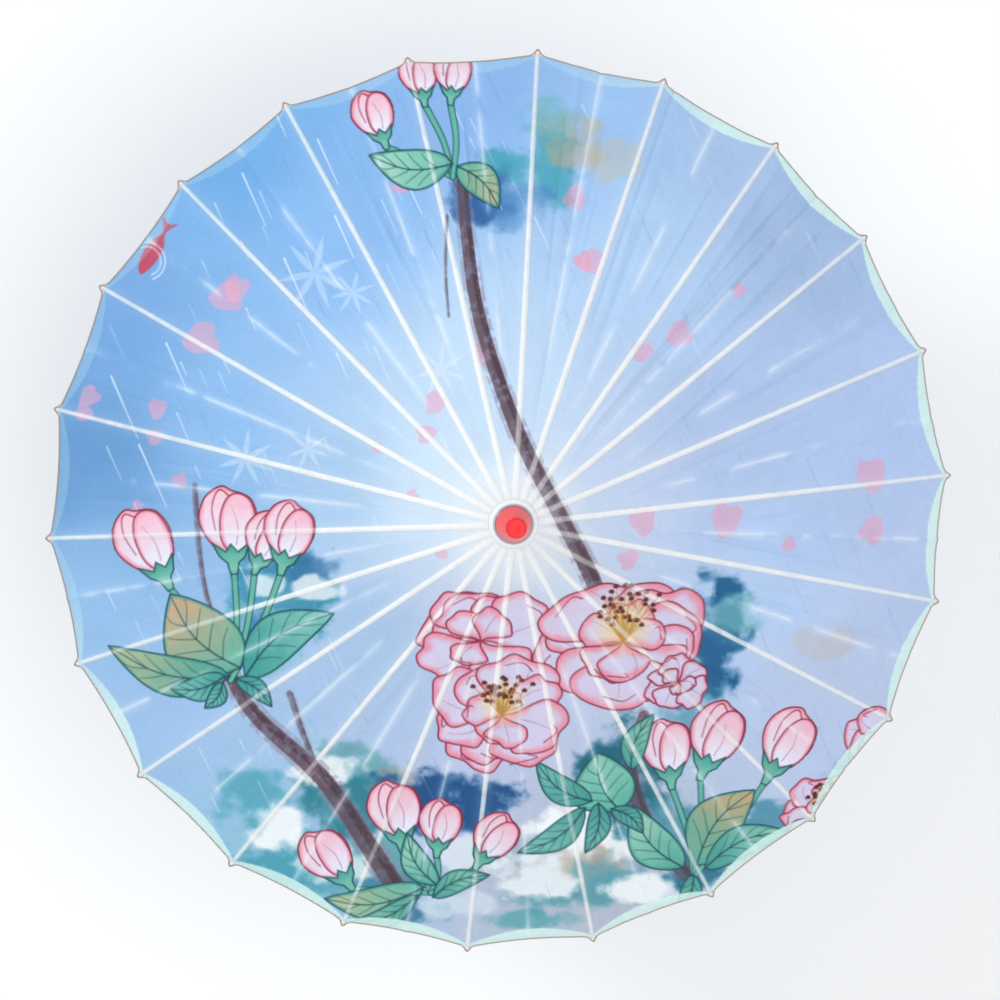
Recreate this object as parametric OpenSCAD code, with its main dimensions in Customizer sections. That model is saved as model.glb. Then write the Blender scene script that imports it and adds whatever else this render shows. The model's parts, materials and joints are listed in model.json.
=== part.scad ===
// Oiled-cloth parasol on a split-bamboo frame, open and held upright.
// +Z runs up the shaft, rib_01 points along +X and the origin is the middle of the hand grip.

/* [Canopy] */
// Diameter of the circle through the rib tips
span_d = 820; // [640:10:1000]
// Number of ribs
rib_count = 22; // [16:1:22]
// Slope of the open ribs below the horizontal, in degrees
rib_slope = 22; // [18:1:28]
// Thickness of the oiled cloth
cloth_t = 0.6; // [0.4:0.1:1]
// Depth of the hollow scallop between two ribs
scallop = 4; // [0:0.5:10]
// Length of rib that stands out past the edge of the cloth
tip_past_edge = 5.4; // [5:0.1:8]
// Diameter of the cord along the edge
cord_d = 1.2; // [0.8:0.1:1.6]

/* [Ribs] */
// Width of a rib at the hub end
rib_w = 3.4; // [3:0.1:4.2]
// Width of a rib at its tip
rib_tip_w = 2.4; // [2:0.1:3]
// Depth of a rib
rib_depth = 4.4; // [3.6:0.1:5.6]
// Depth of a rib at its tip
rib_tip_depth = 2.4; // [1.8:0.1:3]
// Distance from the hub pivot to the stretcher's pin, along the rib
stretcher_at = 190; // [150:1:220]
// Drop of that pin below the hub pivot's line
pin_drop = 2; // [1.5:0.1:4]
// Diameter of the thread bound round each tip
binding_d = 4.6; // [4:0.1:5.2]

/* [Stretchers] */
// Width of a stretcher
stretcher_w = 3; // [2.6:0.1:3.6]
// Depth of a stretcher
stretcher_depth = 3.6; // [3:0.1:4.4]
// Diameter of the pin that joins a stretcher to its rib
pin_d = 1.2; // [1:0.1:1.5]
// Lean of the closed stretchers from the shaft, in degrees
closed_lean = 4; // [3:0.5:8]

/* [Hub and runner] */
// Radius of the circle of pivots in the hub and in the runner
pivot_r = 16; // [14:0.5:22]
// Outside radius of the slotted heads, past the pivot circle
head_past_pivot = 3.5; // [3:0.1:5]
// Width of each slot
slot_w = 2.1; // [2:0.05:2.4]
// Thickness of the rib and stretcher ends that turn in the slots
tongue_t = 1.7; // [1.4:0.05:1.8]
// Diameter of the wire rings that the ribs and stretchers turn on
wire_d = 1; // [0.8:0.1:1.2]
// Length of the runner's sleeve below its pivots
sleeve_len = 30; // [24:1:44]

/* [Shaft and grip] */
// Diameter of the shaft
shaft_d = 12; // [10:0.5:14]
// Diameter of the hand grip
grip_d = 26; // [22:1:34]
// Length of the straight part of the grip
grip_len = 90; // [75:5:130]

/* [Catch] */
// Height of the spring catch from its pin to its nose
catch_h = 29; // [24:1:36]
// How far the catch's nose stands out of the shaft
nose_out = 3.3; // [2.5:0.1:3.6]

/* [Top] */
// Diameter of the red cap at its base
cap_base_d = 31; // [28:1:36]
// Diameter of the red cap at its flat top
cap_top_d = 17; // [12:1:24]
// Height of the red cap
cap_h = 34; // [24:1:44]
// Diameter of the wrapped neck band where it meets the cloth
band_d = 43.6; // [40:0.2:50]

/* [Hidden] */
$fn = 48;
pitch = 360 / rib_count;
span_r = span_d / 2;
shaft_r = shaft_d / 2;
grip_r = grip_d / 2;
wire_r = wire_d / 2;
pin_r = pin_d / 2;
cord_r = cord_d / 2;
push_gap = 0.05;      // a piece pushed onto another and fixed there
turn_gap = 0.08;      // a pin that turns in its hole
slide_gap = 0.3;      // the runner on the shaft, and pieces that only pass each other
cloth_gap = 0.4;      // the cloth above the ribs

rib_len = (span_r - pivot_r) / cos(rib_slope);
rib_top = rib_depth - 1.2;
rib_low = rib_top - rib_depth;
tongue_len = 13;
shoulder = 3;
eye_r = 2.5;
lug_r = 2.8;
lug_half = 12;
slit_w = 1.8;
slit_roof = 0.8;
pin_tongue_t = 1.4;
pin_tongue_len = 15;
pin_eye_r = 2.2;
binding_len = 2.8;
binding_from_tip = 0.8;
binding_inset = 0.3;

head_r = pivot_r + head_past_pivot;
slot_floor_r = pivot_r - 3.5;
head_half = 9;
neck_r = slot_floor_r - 0.5;
groove_h = wire_d + 0.4;
hub_skirt = 22;
neck_top = 20;
runner_neck = 14;

// The four-sided linkage of hub, rib, stretcher and runner has two equal arms, so the runner slides straight.
arm = sqrt(stretcher_at * stretcher_at + pin_drop * pin_drop);
arm_open = 90 - rib_slope - atan(pin_drop / stretcher_at);
grip_collar = 12;
grip_top = grip_len / 2 + grip_collar;
park_gap = 5;
hub_z = grip_top + park_gap + sleeve_len + 2 * arm * cos(closed_lean);
runner_z = hub_z - 2 * arm * cos(arm_open);
shaft_top = hub_z + neck_top;
shaft_low = -grip_len / 2 + 7;

nose_z = runner_z - sleeve_len - slide_gap;
catch_z = nose_z - catch_h;
catch_t = 1.6;
catch_slot_w = catch_t + 0.6;
catch_pin_r = 0.8;
catch_back = 0.6;
catch_slot_back = catch_back - nose_out - 1.2;
stop_r = 1.2;
stop_z = runner_z + runner_neck + slide_gap + stop_r;
stop_len = shaft_d + 6;
hub_pin_r = 1;
hub_pin_z = hub_z - 16;

cloth_hole_r = neck_r + 0.6;
gore_steps = 4;
cord_sides = 8;
cord_off = rib_top + cloth_gap + cord_r;
cap_z = hub_z + 9.5;
band_t = 0.8;

function two(k) = k < 10 ? str("0", k) : str(k);
function cone_z(r, off) = off / cos(rib_slope) - (r - pivot_r) * tan(rib_slope);
function round_pt(r, z, az) = [r * cos(az), r * sin(az), z];

// A point on rib k, a distance s out from its pivot and off above the pivot's line.
function rib_pt(k, s, off) = round_pt(
    pivot_r + s * cos(rib_slope) + off * sin(rib_slope),
    hub_z - s * sin(rib_slope) + off * cos(rib_slope),
    (k - 1) * pitch);
// A point of the flat gore between ribs k and k + 1, a share u of the way across.
function gore_pt(k, u, s, off) = (1 - u) * rib_pt(k, s, off) + u * rib_pt(k + 1, s, off);
function edge_s(u) = rib_len - tip_past_edge - scallop * 4 * u * (1 - u);
function hole_s(off) = (cloth_hole_r - pivot_r - off * sin(rib_slope)) / cos(rib_slope);

// A flat outline in X and Z, drawn as thick as w along Y.
module upright(w) {
    rotate([90, 0, 0]) linear_extrude(w, center = true) children();
}

// A round hole or pin along Y.
module cross(x, z, r, len) {
    translate([x, 0, z]) rotate([90, 0, 0]) cylinder(r = r, h = len, center = true);
}

module shaft() {
    color("#c99a5b") difference() {
        translate([0, 0, shaft_low]) cylinder(r = shaft_r, h = shaft_top - shaft_low);
        translate([catch_slot_back, -catch_slot_w / 2, catch_z - 2.6])
            cube([shaft_r - catch_slot_back + 1, catch_slot_w, catch_h + 3.6]);
        cross(0, catch_z, catch_pin_r + push_gap, shaft_d + 2);
        cross(0, stop_z, stop_r + push_gap, shaft_d + 2);
        cross(0, hub_pin_z, hub_pin_r + push_gap, shaft_d + 2);
    }
}

module grip() {
    bore = shaft_r + push_gap;
    color("#7a3f22") rotate_extrude() polygon([
        [bore, -grip_len / 2],
        [grip_r, -grip_len / 2],
        [grip_r, grip_len / 2],
        [grip_r - 1.2, grip_len / 2 + 2.4],
        [bore + 2.4, grip_top],
        [bore, grip_top]
    ]);
}

// A domed plug that closes the lower end of the grip.
module grip_end_cap() {
    plug_r = shaft_r - push_gap;
    flange = 3;
    edge = 3;
    flange_r = grip_r - 0.4;
    top = -grip_len / 2 - push_gap;
    rim = [for (a = [0:15:90]) [flange_r - edge + edge * cos(a), top - flange - edge * sin(a)]];
    color("#4e2a18") rotate_extrude() polygon(concat(
        [[0, shaft_low - 1], [plug_r, shaft_low - 1], [plug_r, top], [flange_r, top]],
        rim,
        [[0, top - flange - edge]]
    ));
}

// The slots and the wire's groove that the hub and the runner share, round a pivot height z.
module pivot_cuts(z) {
    for (k = [1:rib_count]) rotate((k - 1) * pitch)
        translate([slot_floor_r, -slot_w / 2, z - head_half - 1])
            cube([head_r - slot_floor_r + 1, slot_w, 2 * head_half + 2]);
    rotate_extrude() translate([pivot_r - wire_r - 0.15, z - groove_h / 2])
        square([head_past_pivot + wire_r + 2, groove_h]);
}

module hub() {
    bore = shaft_r + push_gap;
    color("#d9b476") difference() {
        translate([0, 0, hub_z]) rotate_extrude() polygon([
            [bore, -hub_skirt],
            [neck_r - 1, -hub_skirt],
            [neck_r, -hub_skirt + 1],
            [neck_r, -head_half],
            [head_r, -head_half],
            [head_r, cone_z(head_r, rib_top)],
            [neck_r, cone_z(neck_r, rib_top)],
            [neck_r, neck_top],
            [bore, neck_top]
        ]);
        pivot_cuts(hub_z);
        cross(0, hub_pin_z, hub_pin_r + push_gap, 3 * head_r);
    }
}

module hub_pin() {
    color("#b98a4a") cross(0, hub_pin_z, hub_pin_r, 2 * neck_r - 0.4);
}

module wire_ring(z) {
    color("#b9b9b2") translate([0, 0, z]) rotate_extrude() translate([pivot_r, 0]) circle(wire_r);
}

module runner() {
    bore = shaft_r + slide_gap;
    sleeve_r = neck_r - 2;
    color("#d9b476") difference() {
        translate([0, 0, runner_z]) rotate_extrude() polygon([
            [bore, -sleeve_len],
            [sleeve_r, -sleeve_len],
            [sleeve_r, -sleeve_len + 9],
            [neck_r - 1, -sleeve_len + 12],
            [neck_r, -head_half - 3],
            [head_r - 2, -head_half],
            [head_r, -head_half + 2],
            [head_r, head_half - 2],
            [head_r - 1.5, head_half],
            [neck_r - 2, head_half],
            [neck_r - 2, runner_neck],
            [bore, runner_neck]
        ]);
        pivot_cuts(runner_z);
    }
}

module stop_pin() {
    color("#b98a4a") cross(0, stop_z, stop_r, stop_len);
}

// A flat steel catch that turns on its lower pin; its nose stands out just under the runner.
module catch_spring() {
    nose_x = shaft_r + nose_out;
    color("#9c9c9c") difference() {
        translate([0, 0, catch_z]) upright(catch_t) union() {
            circle(1.9);
            polygon([
                [-1.3, 0],
                [1.3, 0],
                [1.3, catch_h * 0.42],
                [shaft_r - 0.8, catch_h * 0.5],
                [nose_x, catch_h - 3],
                [nose_x, catch_h],
                [catch_back, catch_h]
            ]);
        }
        cross(0, catch_z, catch_pin_r + turn_gap, 4);
    }
}

module catch_pin() {
    color("#b9b9b2") cross(0, catch_z, catch_pin_r, shaft_d - 1);
}

// The oiled cloth: flat gores with a hollow edge, all one sheet with a round hole for the hub's neck.
module canopy() {
    low = rib_top + cloth_gap;
    high = low + cloth_t;
    n = rib_count * gore_steps;
    function ring(at_hole, off) = [
        for (k = [1:rib_count]) for (i = [0:gore_steps - 1])
            gore_pt(k, i / gore_steps, at_hole ? hole_s(off) : edge_s(i / gore_steps), off)
    ];
    color("#b7d3e6") polyhedron(
        points = concat(ring(true, low), ring(false, low), ring(false, high), ring(true, high)),
        faces = [
            for (a = [0:3]) for (i = [0:n - 1])
                [a * n + i, (a + 1) % 4 * n + i, (a + 1) % 4 * n + (i + 1) % n, a * n + (i + 1) % n]
        ],
        convexity = 4
    );
}

// One closed cord that follows the scalloped edge just outside the cloth.
module rim_cord() {
    n = rib_count * gore_steps;
    route = [
        for (k = [1:rib_count]) for (i = [0:gore_steps - 1])
            gore_pt(k, i / gore_steps, edge_s(i / gore_steps) + cord_r + push_gap, cord_off)
    ];
    function round_cord(p, a) =
        p + cord_r * [cos(a) * p[0] / norm([p[0], p[1]]), cos(a) * p[1] / norm([p[0], p[1]]), sin(a)];
    color("#9a8c7c") polyhedron(
        points = [for (p = route) for (j = [0:cord_sides - 1]) round_cord(p, (j + 0.5) * 360 / cord_sides)],
        faces = [
            for (i = [0:n - 1]) for (j = [0:cord_sides - 1])
                let (next = (i + 1) % n * cord_sides, here = i * cord_sides, turn = (j + 1) % cord_sides)
                    [here + j, here + turn, next + turn, next + j]
        ],
        convexity = 4
    );
}

// A film band wrapped round the neck, from the cloth up to the cap.
module neck_band() {
    band_r = band_d / 2;
    low = hub_z + cone_z(band_r - band_t, rib_top + cloth_gap + cloth_t) + 0.2;
    in_r = neck_r + 2;
    color("#e4e4e0") rotate_extrude() polygon([
        [band_r - band_t, low],
        [band_r, low],
        [in_r + band_t + 2, cap_z - 2.2],
        [in_r + band_t, cap_z - 0.2],
        [in_r, cap_z - 0.2],
        [in_r + 2, cap_z - 2.2]
    ]);
}

module top_cap() {
    base_r = cap_base_d / 2;
    top_r = cap_top_d / 2;
    edge = 1;
    socket_r = neck_r + push_gap;
    socket_h = shaft_top + 0.6 - cap_z;
    gate_r = 1.3;
    color("#c5161c") difference() {
        translate([0, 0, cap_z]) rotate_extrude() polygon([
            [0, 0],
            [base_r, 0],
            [base_r, 1.4],
            [top_r, cap_h - edge],
            [top_r - edge, cap_h],
            [0, cap_h]
        ]);
        translate([0, 0, cap_z - 1]) cylinder(r = socket_r, h = socket_h + 1);
        translate([0, 0, cap_z + cap_h - 0.4]) cylinder(r = gate_r, h = 1);
    }
}

// The side view of a rib along +X, its hub pivot at the origin.
module rib_side() {
    circle(eye_r);
    polygon([
        [-1.6, 0],
        [-1.2, rib_top],
        [rib_len, rib_top],
        [rib_len, rib_top - rib_tip_depth],
        [stretcher_at + lug_half, rib_low],
        [stretcher_at + 2.4, -pin_drop - lug_r + 0.4],
        [stretcher_at - 2.4, -pin_drop - lug_r + 0.4],
        [stretcher_at - lug_half, rib_low],
        [1, rib_low]
    ]);
    translate([stretcher_at, -pin_drop]) circle(lug_r);
}

// The same rib from above: a thin end for the hub's slot, then a slow taper with a waist for the thread.
module rib_plan() {
    tip = rib_tip_w / 2;
    waist_out = rib_len - binding_from_tip;
    waist_in = waist_out - binding_len;
    half = [
        [-eye_r - 1, tongue_t / 2],
        [tongue_len, tongue_t / 2],
        [tongue_len + shoulder, rib_w / 2],
        [waist_in, tip],
        [waist_in + 0.3, tip - binding_inset],
        [waist_out - 0.3, tip - binding_inset],
        [waist_out, tip],
        [rib_len, tip - 0.3]
    ];
    polygon(concat(half, [for (i = [len(half) - 1:-1:0]) [half[i][0], -half[i][1]]]));
}

module rib_bar() {
    difference() {
        intersection() {
            upright(rib_w + 1) rib_side();
            translate([0, 0, -20]) linear_extrude(40) rib_plan();
        }
        cross(0, 0, wire_r + turn_gap, 5);
        translate([stretcher_at - 6, -slit_w / 2, -20]) cube([22, slit_w, 20 + slit_roof]);
        cross(stretcher_at, -pin_drop, pin_r + turn_gap, rib_w + 2);
    }
}

// Thread wound round the waist of a tip, a separate ring with a square hole.
module tip_binding() {
    mid = rib_top - rib_tip_depth / 2;
    hole_w = rib_tip_w - 2 * binding_inset + 2 * push_gap;
    hole_h = rib_tip_depth + 2 * push_gap + 0.1;
    translate([rib_len - binding_from_tip - binding_len + 0.35, 0, mid]) rotate([0, 90, 0]) difference() {
        cylinder(d = binding_d, h = binding_len - 0.7);
        translate([-hole_h / 2, -hole_w / 2, -1]) cube([hole_h, hole_w, binding_len + 2]);
    }
}

module rib(k) {
    rotate((k - 1) * pitch) translate([pivot_r, 0, hub_z]) rotate([0, rib_slope, 0]) {
        color("#e2c48c") rib_bar();
        color("#efe6da") tip_binding();
    }
}

// The plan of a stretcher along +X: a thin end in the rib's slit, and one in the runner's slot.
module stretcher_plan() {
    half = [
        [-pin_eye_r - 1, pin_tongue_t / 2],
        [pin_tongue_len, pin_tongue_t / 2],
        [pin_tongue_len + shoulder, stretcher_w / 2],
        [arm - tongue_len - shoulder, stretcher_w / 2],
        [arm - tongue_len, tongue_t / 2],
        [arm + eye_r + 1, tongue_t / 2]
    ];
    polygon(concat(half, [for (i = [len(half) - 1:-1:0]) [half[i][0], -half[i][1]]]));
}

module stretcher_side() {
    half = stretcher_depth / 2;
    circle(pin_eye_r);
    polygon([[0, -half], [arm, -half], [arm, half], [0, half]]);
    translate([arm, 0]) circle(eye_r);
}

module stretcher(k) {
    rotate((k - 1) * pitch)
        translate([pivot_r + arm * sin(arm_open), 0, hub_z - arm * cos(arm_open)])
            rotate([0, 90 + arm_open, 0]) {
        color("#d8b57c") difference() {
            intersection() {
                upright(stretcher_w + 1) stretcher_side();
                translate([0, 0, -10]) linear_extrude(20) stretcher_plan();
            }
            cross(0, 0, pin_r + push_gap, stretcher_w + 2);
            cross(arm, 0, wire_r + turn_gap, stretcher_w + 2);
        }
        color("#b9b9b2") cross(0, 0, pin_r, rib_w - 0.1);
    }
}

shaft();
grip();
grip_end_cap();
hub();
hub_pin();
wire_ring(hub_z);  // hub_wire
runner();
wire_ring(runner_z);  // runner_wire
stop_pin();
catch_spring();
catch_pin();
canopy();
rim_cord();
neck_band();
top_cap();
for (k = [1:rib_count]) rib(k);
for (k = [1:rib_count]) stretcher(k);
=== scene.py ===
# %% [markdown]
# # A painted oiled-cloth parasol
# The part was designed in CAD, so its sizes, places and joints are settled. This lesson gives each
# piece the look of the real thing: split bamboo, turned wood, thread, moulded plastic and, above all,
# one big sheet of printed cloth that is glued on twenty-two ribs and folds with them.
# We load the CAD frame first and keep its box.

# %% Load the frame
import json
import math

import bpy
import numpy as np
from mathutils import Matrix, Vector

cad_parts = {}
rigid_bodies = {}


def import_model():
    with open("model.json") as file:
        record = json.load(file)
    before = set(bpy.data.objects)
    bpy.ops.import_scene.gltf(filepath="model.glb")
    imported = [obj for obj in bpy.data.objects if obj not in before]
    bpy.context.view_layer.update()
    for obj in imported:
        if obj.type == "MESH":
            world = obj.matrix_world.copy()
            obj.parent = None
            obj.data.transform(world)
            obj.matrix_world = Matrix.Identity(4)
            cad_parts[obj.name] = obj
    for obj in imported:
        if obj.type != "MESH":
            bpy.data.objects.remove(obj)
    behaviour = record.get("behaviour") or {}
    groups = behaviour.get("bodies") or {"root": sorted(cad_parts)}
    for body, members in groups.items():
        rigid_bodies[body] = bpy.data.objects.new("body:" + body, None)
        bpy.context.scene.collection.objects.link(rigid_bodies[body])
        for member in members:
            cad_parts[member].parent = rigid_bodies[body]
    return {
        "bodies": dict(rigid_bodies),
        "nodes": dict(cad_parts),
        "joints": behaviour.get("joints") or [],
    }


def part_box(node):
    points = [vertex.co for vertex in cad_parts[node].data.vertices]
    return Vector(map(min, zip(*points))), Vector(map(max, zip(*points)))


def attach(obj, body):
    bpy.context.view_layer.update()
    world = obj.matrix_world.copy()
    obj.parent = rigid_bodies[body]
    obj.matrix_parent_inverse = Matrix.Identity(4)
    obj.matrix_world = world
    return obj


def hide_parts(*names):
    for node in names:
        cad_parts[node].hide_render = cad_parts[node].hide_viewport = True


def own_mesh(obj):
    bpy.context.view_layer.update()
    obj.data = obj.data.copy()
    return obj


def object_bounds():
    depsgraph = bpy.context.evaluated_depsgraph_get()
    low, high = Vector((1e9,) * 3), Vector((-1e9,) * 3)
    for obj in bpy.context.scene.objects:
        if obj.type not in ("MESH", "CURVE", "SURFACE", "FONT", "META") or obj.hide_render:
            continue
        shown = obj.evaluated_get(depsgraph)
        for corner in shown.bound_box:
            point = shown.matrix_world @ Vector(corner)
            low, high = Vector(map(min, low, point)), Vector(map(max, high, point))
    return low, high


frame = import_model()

cad_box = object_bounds()
MM = 0.001
joints = {j["name"]: j for j in frame["joints"]}
RIBS = sum(body.startswith("rib_") for body in frame["bodies"])
PITCH = 2 * math.pi / RIBS
print("ribs:", RIBS, "box:", [round(v, 3) for v in (*cad_box[0], *cad_box[1])])

# %% [markdown]
# ## The cone that the ribs make
# Every rib leaves the hub at the same slope, so one formula places any point of the frame: go a
# distance s out along a rib and a height off above its pivot line. The pivot is read from the CAD
# joint, and the rib's length from the CAD box, so the cloth fits without any nudging.

# %% Rib geometry
SLOPE = math.radians(22)
RIB_TOP = 3.2 * MM
CLOTH_OFF = RIB_TOP + 0.7 * MM
TIP_PAST_EDGE = 4.6 * MM
SCALLOP = 3 * MM
PIVOT_R, _, HUB_Z = joints["canopy_fold"]["pos_m"]
RIB_LEN = (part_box("rib_01")[1].x - RIB_TOP * math.sin(SLOPE) - PIVOT_R) / math.cos(SLOPE)
PICTURE_TURN = math.radians(3.7)


def rib_axes(k):
    """Outward, sideways and upward directions of rib k, counted from 0."""
    a = k * PITCH
    radial = np.array([math.cos(a), math.sin(a), 0])
    side = np.array([-math.sin(a), math.cos(a), 0])
    out = radial * math.cos(SLOPE) - np.array([0, 0, math.sin(SLOPE)])
    up = radial * math.sin(SLOPE) + np.array([0, 0, math.cos(SLOPE)])
    return radial, out, side, up


def on_rib(k, s, off):
    """Points at distances s along rib k, off above its pivot line. s may be an array."""
    radial, out, _, up = rib_axes(k)
    pivot = radial * PIVOT_R + np.array([0, 0, HUB_Z])
    return pivot + np.multiply.outer(s, out) + off * up


def across_gore(u, reach):
    """Distances in mm from a gore's middle and from its nearer rib, at share u and reach from the hub."""
    width = 2 * reach * math.tan(PITCH / 2) / MM
    return (u - 0.5) * width, np.minimum(u, 1 - u) * width


def edge_s(u):
    """How far out the cloth reaches, a share u of the way from one rib to the next."""
    return RIB_LEN - TIP_PAST_EDGE - SCALLOP * 4 * u * (1 - u)


print("rib length:", round(RIB_LEN, 4))

# %% [markdown]
# ## Soft randomness
# Washes of dye, creases and grain all need noise that is the same on every run. A small lattice of
# seeded random values, blended smoothly between its corners, is enough, and it works on whole
# arrays of points at once.

# %% Seeded value noise


def value_noise(x, y, seed):
    """Smooth noise from 0 to 1 with features about one unit wide."""
    size = 64
    lattice = np.random.default_rng(seed).random((size, size))
    x0, y0 = np.floor(x).astype(int), np.floor(y).astype(int)
    fx, fy = x - x0, y - y0
    fx, fy = fx * fx * (3 - 2 * fx), fy * fy * (3 - 2 * fy)
    a, b = lattice[x0 % size, y0 % size], lattice[(x0 + 1) % size, y0 % size]
    c, d = lattice[x0 % size, (y0 + 1) % size], lattice[(x0 + 1) % size, (y0 + 1) % size]
    return (a * (1 - fx) + b * fx) * (1 - fy) + (c * (1 - fx) + d * fx) * fy


def layered_noise(x, y, seed, layers=4):
    """Several sizes of value_noise on top of each other, from 0 to 1."""
    total, weight = 0, 0
    for i in range(layers):
        total = total + value_noise(x * 2 ** i + 7 * i, y * 2 ** i - 5 * i, seed + i) / 2 ** i
        weight += 1 / 2 ** i
    return total / weight


def ramp(v, low, high):
    """0 below low, 1 above high, smooth between."""
    t = np.clip((v - low) / (high - low), 0, 1)
    return t * t * (3 - 2 * t)


print("noise at the origin:", round(float(layered_noise(np.zeros(1), np.zeros(1), 3)[0]), 3))

# %% [markdown]
# ## The sheet of cloth, as half gores
# On the real parasol one round sheet is glued along every rib, and when the frame folds, each gore
# (the cloth between two ribs) folds inward like a pleat. Here the sheet is cut along the ribs and
# along the middle of each gore, and each half gore rides on its own rib. Neighbours share their
# edge points exactly, so the open canopy shows no cut. Each half gore is made of four lengths, and
# each length lists a slant, steeper near the hub, where closed ribs stand almost as far apart as
# open ones; nothing here reads the slant.

# %% Lengths of a half gore
CROWN_END = 4 * MM
LENGTHS = [
    {"name": "inner", "start": CROWN_END, "end": 70 * MM, "columns": 13, "slant": 27},
    {"name": "middle", "start": 70 * MM, "end": 190 * MM, "columns": 26, "slant": 20.5},
    {"name": "outer", "start": 190 * MM, "end": 300 * MM, "columns": 52, "slant": 17},
    {"name": "rim", "start": 300 * MM, "end": None, "columns": 52, "slant": 14.8},
]
ROW_STEP = 1.15 * MM


def crease_relief(k, u, s, x_mm, y_mm):
    """Height of the cloth's own folds above a flat gore, in metres, at share u across gore k."""
    along = s / RIB_LEN
    rng = np.random.default_rng(500 + k)
    across, from_rib = across_gore(u, s)
    sag = -2.2 * along * 4 * u * (1 - u) * (1 - 0.5 * ramp(along, 0.85, 1.0))
    azimuth = (k + 0.5) * PITCH + PICTURE_TURN
    loose = 0.35 + 0.65 * ramp(np.array(math.cos(azimuth - 0.5)), -0.1, 0.8)
    crease = (0.5 + 1.3 * loose) * np.exp(-np.abs(across + 1.5) / 3.2) * ramp(along, 0.08, 0.35)
    fold = rng.uniform(-1.0, 1.0) * crease + rng.choice([-1, 1]) * 0.5 * crease
    rest = 0.0
    for _ in range(8):
        middle, lean, wide = rng.uniform(-26, 26), rng.uniform(-0.12, 0.12), rng.uniform(1.5, 4.0)
        start, stop, height = rng.uniform(0.05, 0.55), rng.uniform(0.6, 1.1), rng.uniform(-1.5, 1.5)
        line = middle * along * 1.6 + lean * (s / MM - 200)
        shown = ramp(along, start, start + 0.15) * (1 - ramp(along, stop - 0.12, stop))
        rest = rest + height * np.exp(-(((across - line) / wide) ** 2)) * shown
    rest = rest + 1.6 * (layered_noise(x_mm / 26, y_mm / 26, 61, 3) - 0.5) * ramp(along, 0.1, 0.4)
    rest = rest + 0.5 * (layered_noise(x_mm / 9, y_mm / 9, 71, 2) - 0.5)
    held = ramp(from_rib, 1.5, 9)
    ridge = 0.9 * np.exp(-((from_rib / 2.2) ** 2))
    return (sag + fold * held + rest * loose * held + ridge) * MM


def hem_share(u, s):
    """1 on the turned-over hem along the edge, 0 inside it."""
    width = (2.0 + 8.5 * 4 * u * (1 - u)) * MM
    return ramp(edge_s(u) - s, width + 0.5 * MM, width - 0.5 * MM)


def cloth_points(k, u, s):
    """Points of gore k, from rib k at u = 0 to the next rib at u = 1, at distances s along them."""
    low = on_rib(k, s, CLOTH_OFF)
    high = on_rib(k + 1, s, CLOTH_OFF)
    flat = low * (1 - u)[..., None] + high * u[..., None]
    x, y = picture_xy(flat)
    up = rib_axes(k)[3] * (1 - u)[..., None] + rib_axes(k + 1)[3] * u[..., None]
    lift = crease_relief(k % RIBS, u, s, x, y) + 0.35 * MM * hem_share(u, s)
    return flat + lift[..., None] * up


def picture_xy(points):
    """Plan coordinates in mm, turned so that the painted picture stands upright."""
    c, s = math.cos(PICTURE_TURN), math.sin(PICTURE_TURN)
    x, y = points[..., 0] / MM, points[..., 1] / MM
    return x * c - y * s, x * s + y * c


def half_gore_grid(length, side, index):
    """(gore, u, s) grids of one length of a half gore: rows run outward, columns from rib to middle."""
    across = np.linspace(0, 0.5, length["columns"] + 1)
    u = across if side > 0 else 1 - across
    begin, end = length["start"], length["end"]
    steps = round(((end or RIB_LEN) - begin) / ROW_STEP)
    shape = (steps + 1, len(u))
    share = np.linspace(0, 1, steps + 1)[:, None]
    s = begin + share * ((edge_s(u) if end is None else end) - begin)
    return index if side > 0 else index - 1, np.broadcast_to(u, shape), np.broadcast_to(s, shape)


def matched(points):
    """Every second point of the first row is put midway, so it lies on the coarser row inside it."""
    points[0, 1::2] = (points[0, 0:-1:2] + points[0, 2::2]) / 2
    return points


FINER_THAN_INSIDE = ("middle", "outer")
half_gores = []
for index in range(RIBS):
    for side, hand in ((1, "left"), (-1, "right")):
        for length in LENGTHS:
            gore, u, s = half_gore_grid(length, side, index)
            points = cloth_points(gore, u, s)
            if length["name"] in FINER_THAN_INSIDE:
                points = matched(points)
            half_gores.append({"rib": index, "side": side, "length": length, "u": u, "s": s,
                               "points": points, "label": "%02d_%s_%s" % (index + 1, hand, length["name"])})
print("half gores:", len(half_gores), "points:", sum(h["u"].size for h in half_gores))

# %% [markdown]
# ## The painter's canvas
# The picture is printed on the cloth, so it is painted straight on the sheet's points, in
# millimetres seen from above, and kept as a colour on each point. The points lie about a
# millimetre apart, as fine as the print can be seen. A brush is a function that mixes a colour
# into the points near a shape, by how far each point is from the shape's outline.

# %% Canvas and brushes
paint_x = np.concatenate([picture_xy(h["points"])[0].ravel() for h in half_gores])
paint_y = np.concatenate([picture_xy(h["points"])[1].ravel() for h in half_gores])
paint = np.zeros((len(paint_x), 3))
SOFT_EDGE = 1.1


def srgb(code):
    """A hex colour as three numbers from 0 to 1, still in sRGB."""
    return np.array([int(code[i:i + 2], 16) / 255 for i in (1, 3, 5)])


def linear(code_or_rgb):
    """sRGB, as a hex colour or an array, made linear for the renderer."""
    c = srgb(code_or_rgb) if isinstance(code_or_rgb, str) else code_or_rgb
    return np.where(c <= 0.04045, c / 12.92, ((c + 0.055) / 1.055) ** 2.4)


def lay(where, colour, strength):
    """Mixes a colour into the chosen points, each by its own strength."""
    colour = srgb(colour) if isinstance(colour, str) else colour
    strength = np.clip(strength, 0, 1)[:, None]
    paint[where] = paint[where] * (1 - strength) + colour * strength


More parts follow.
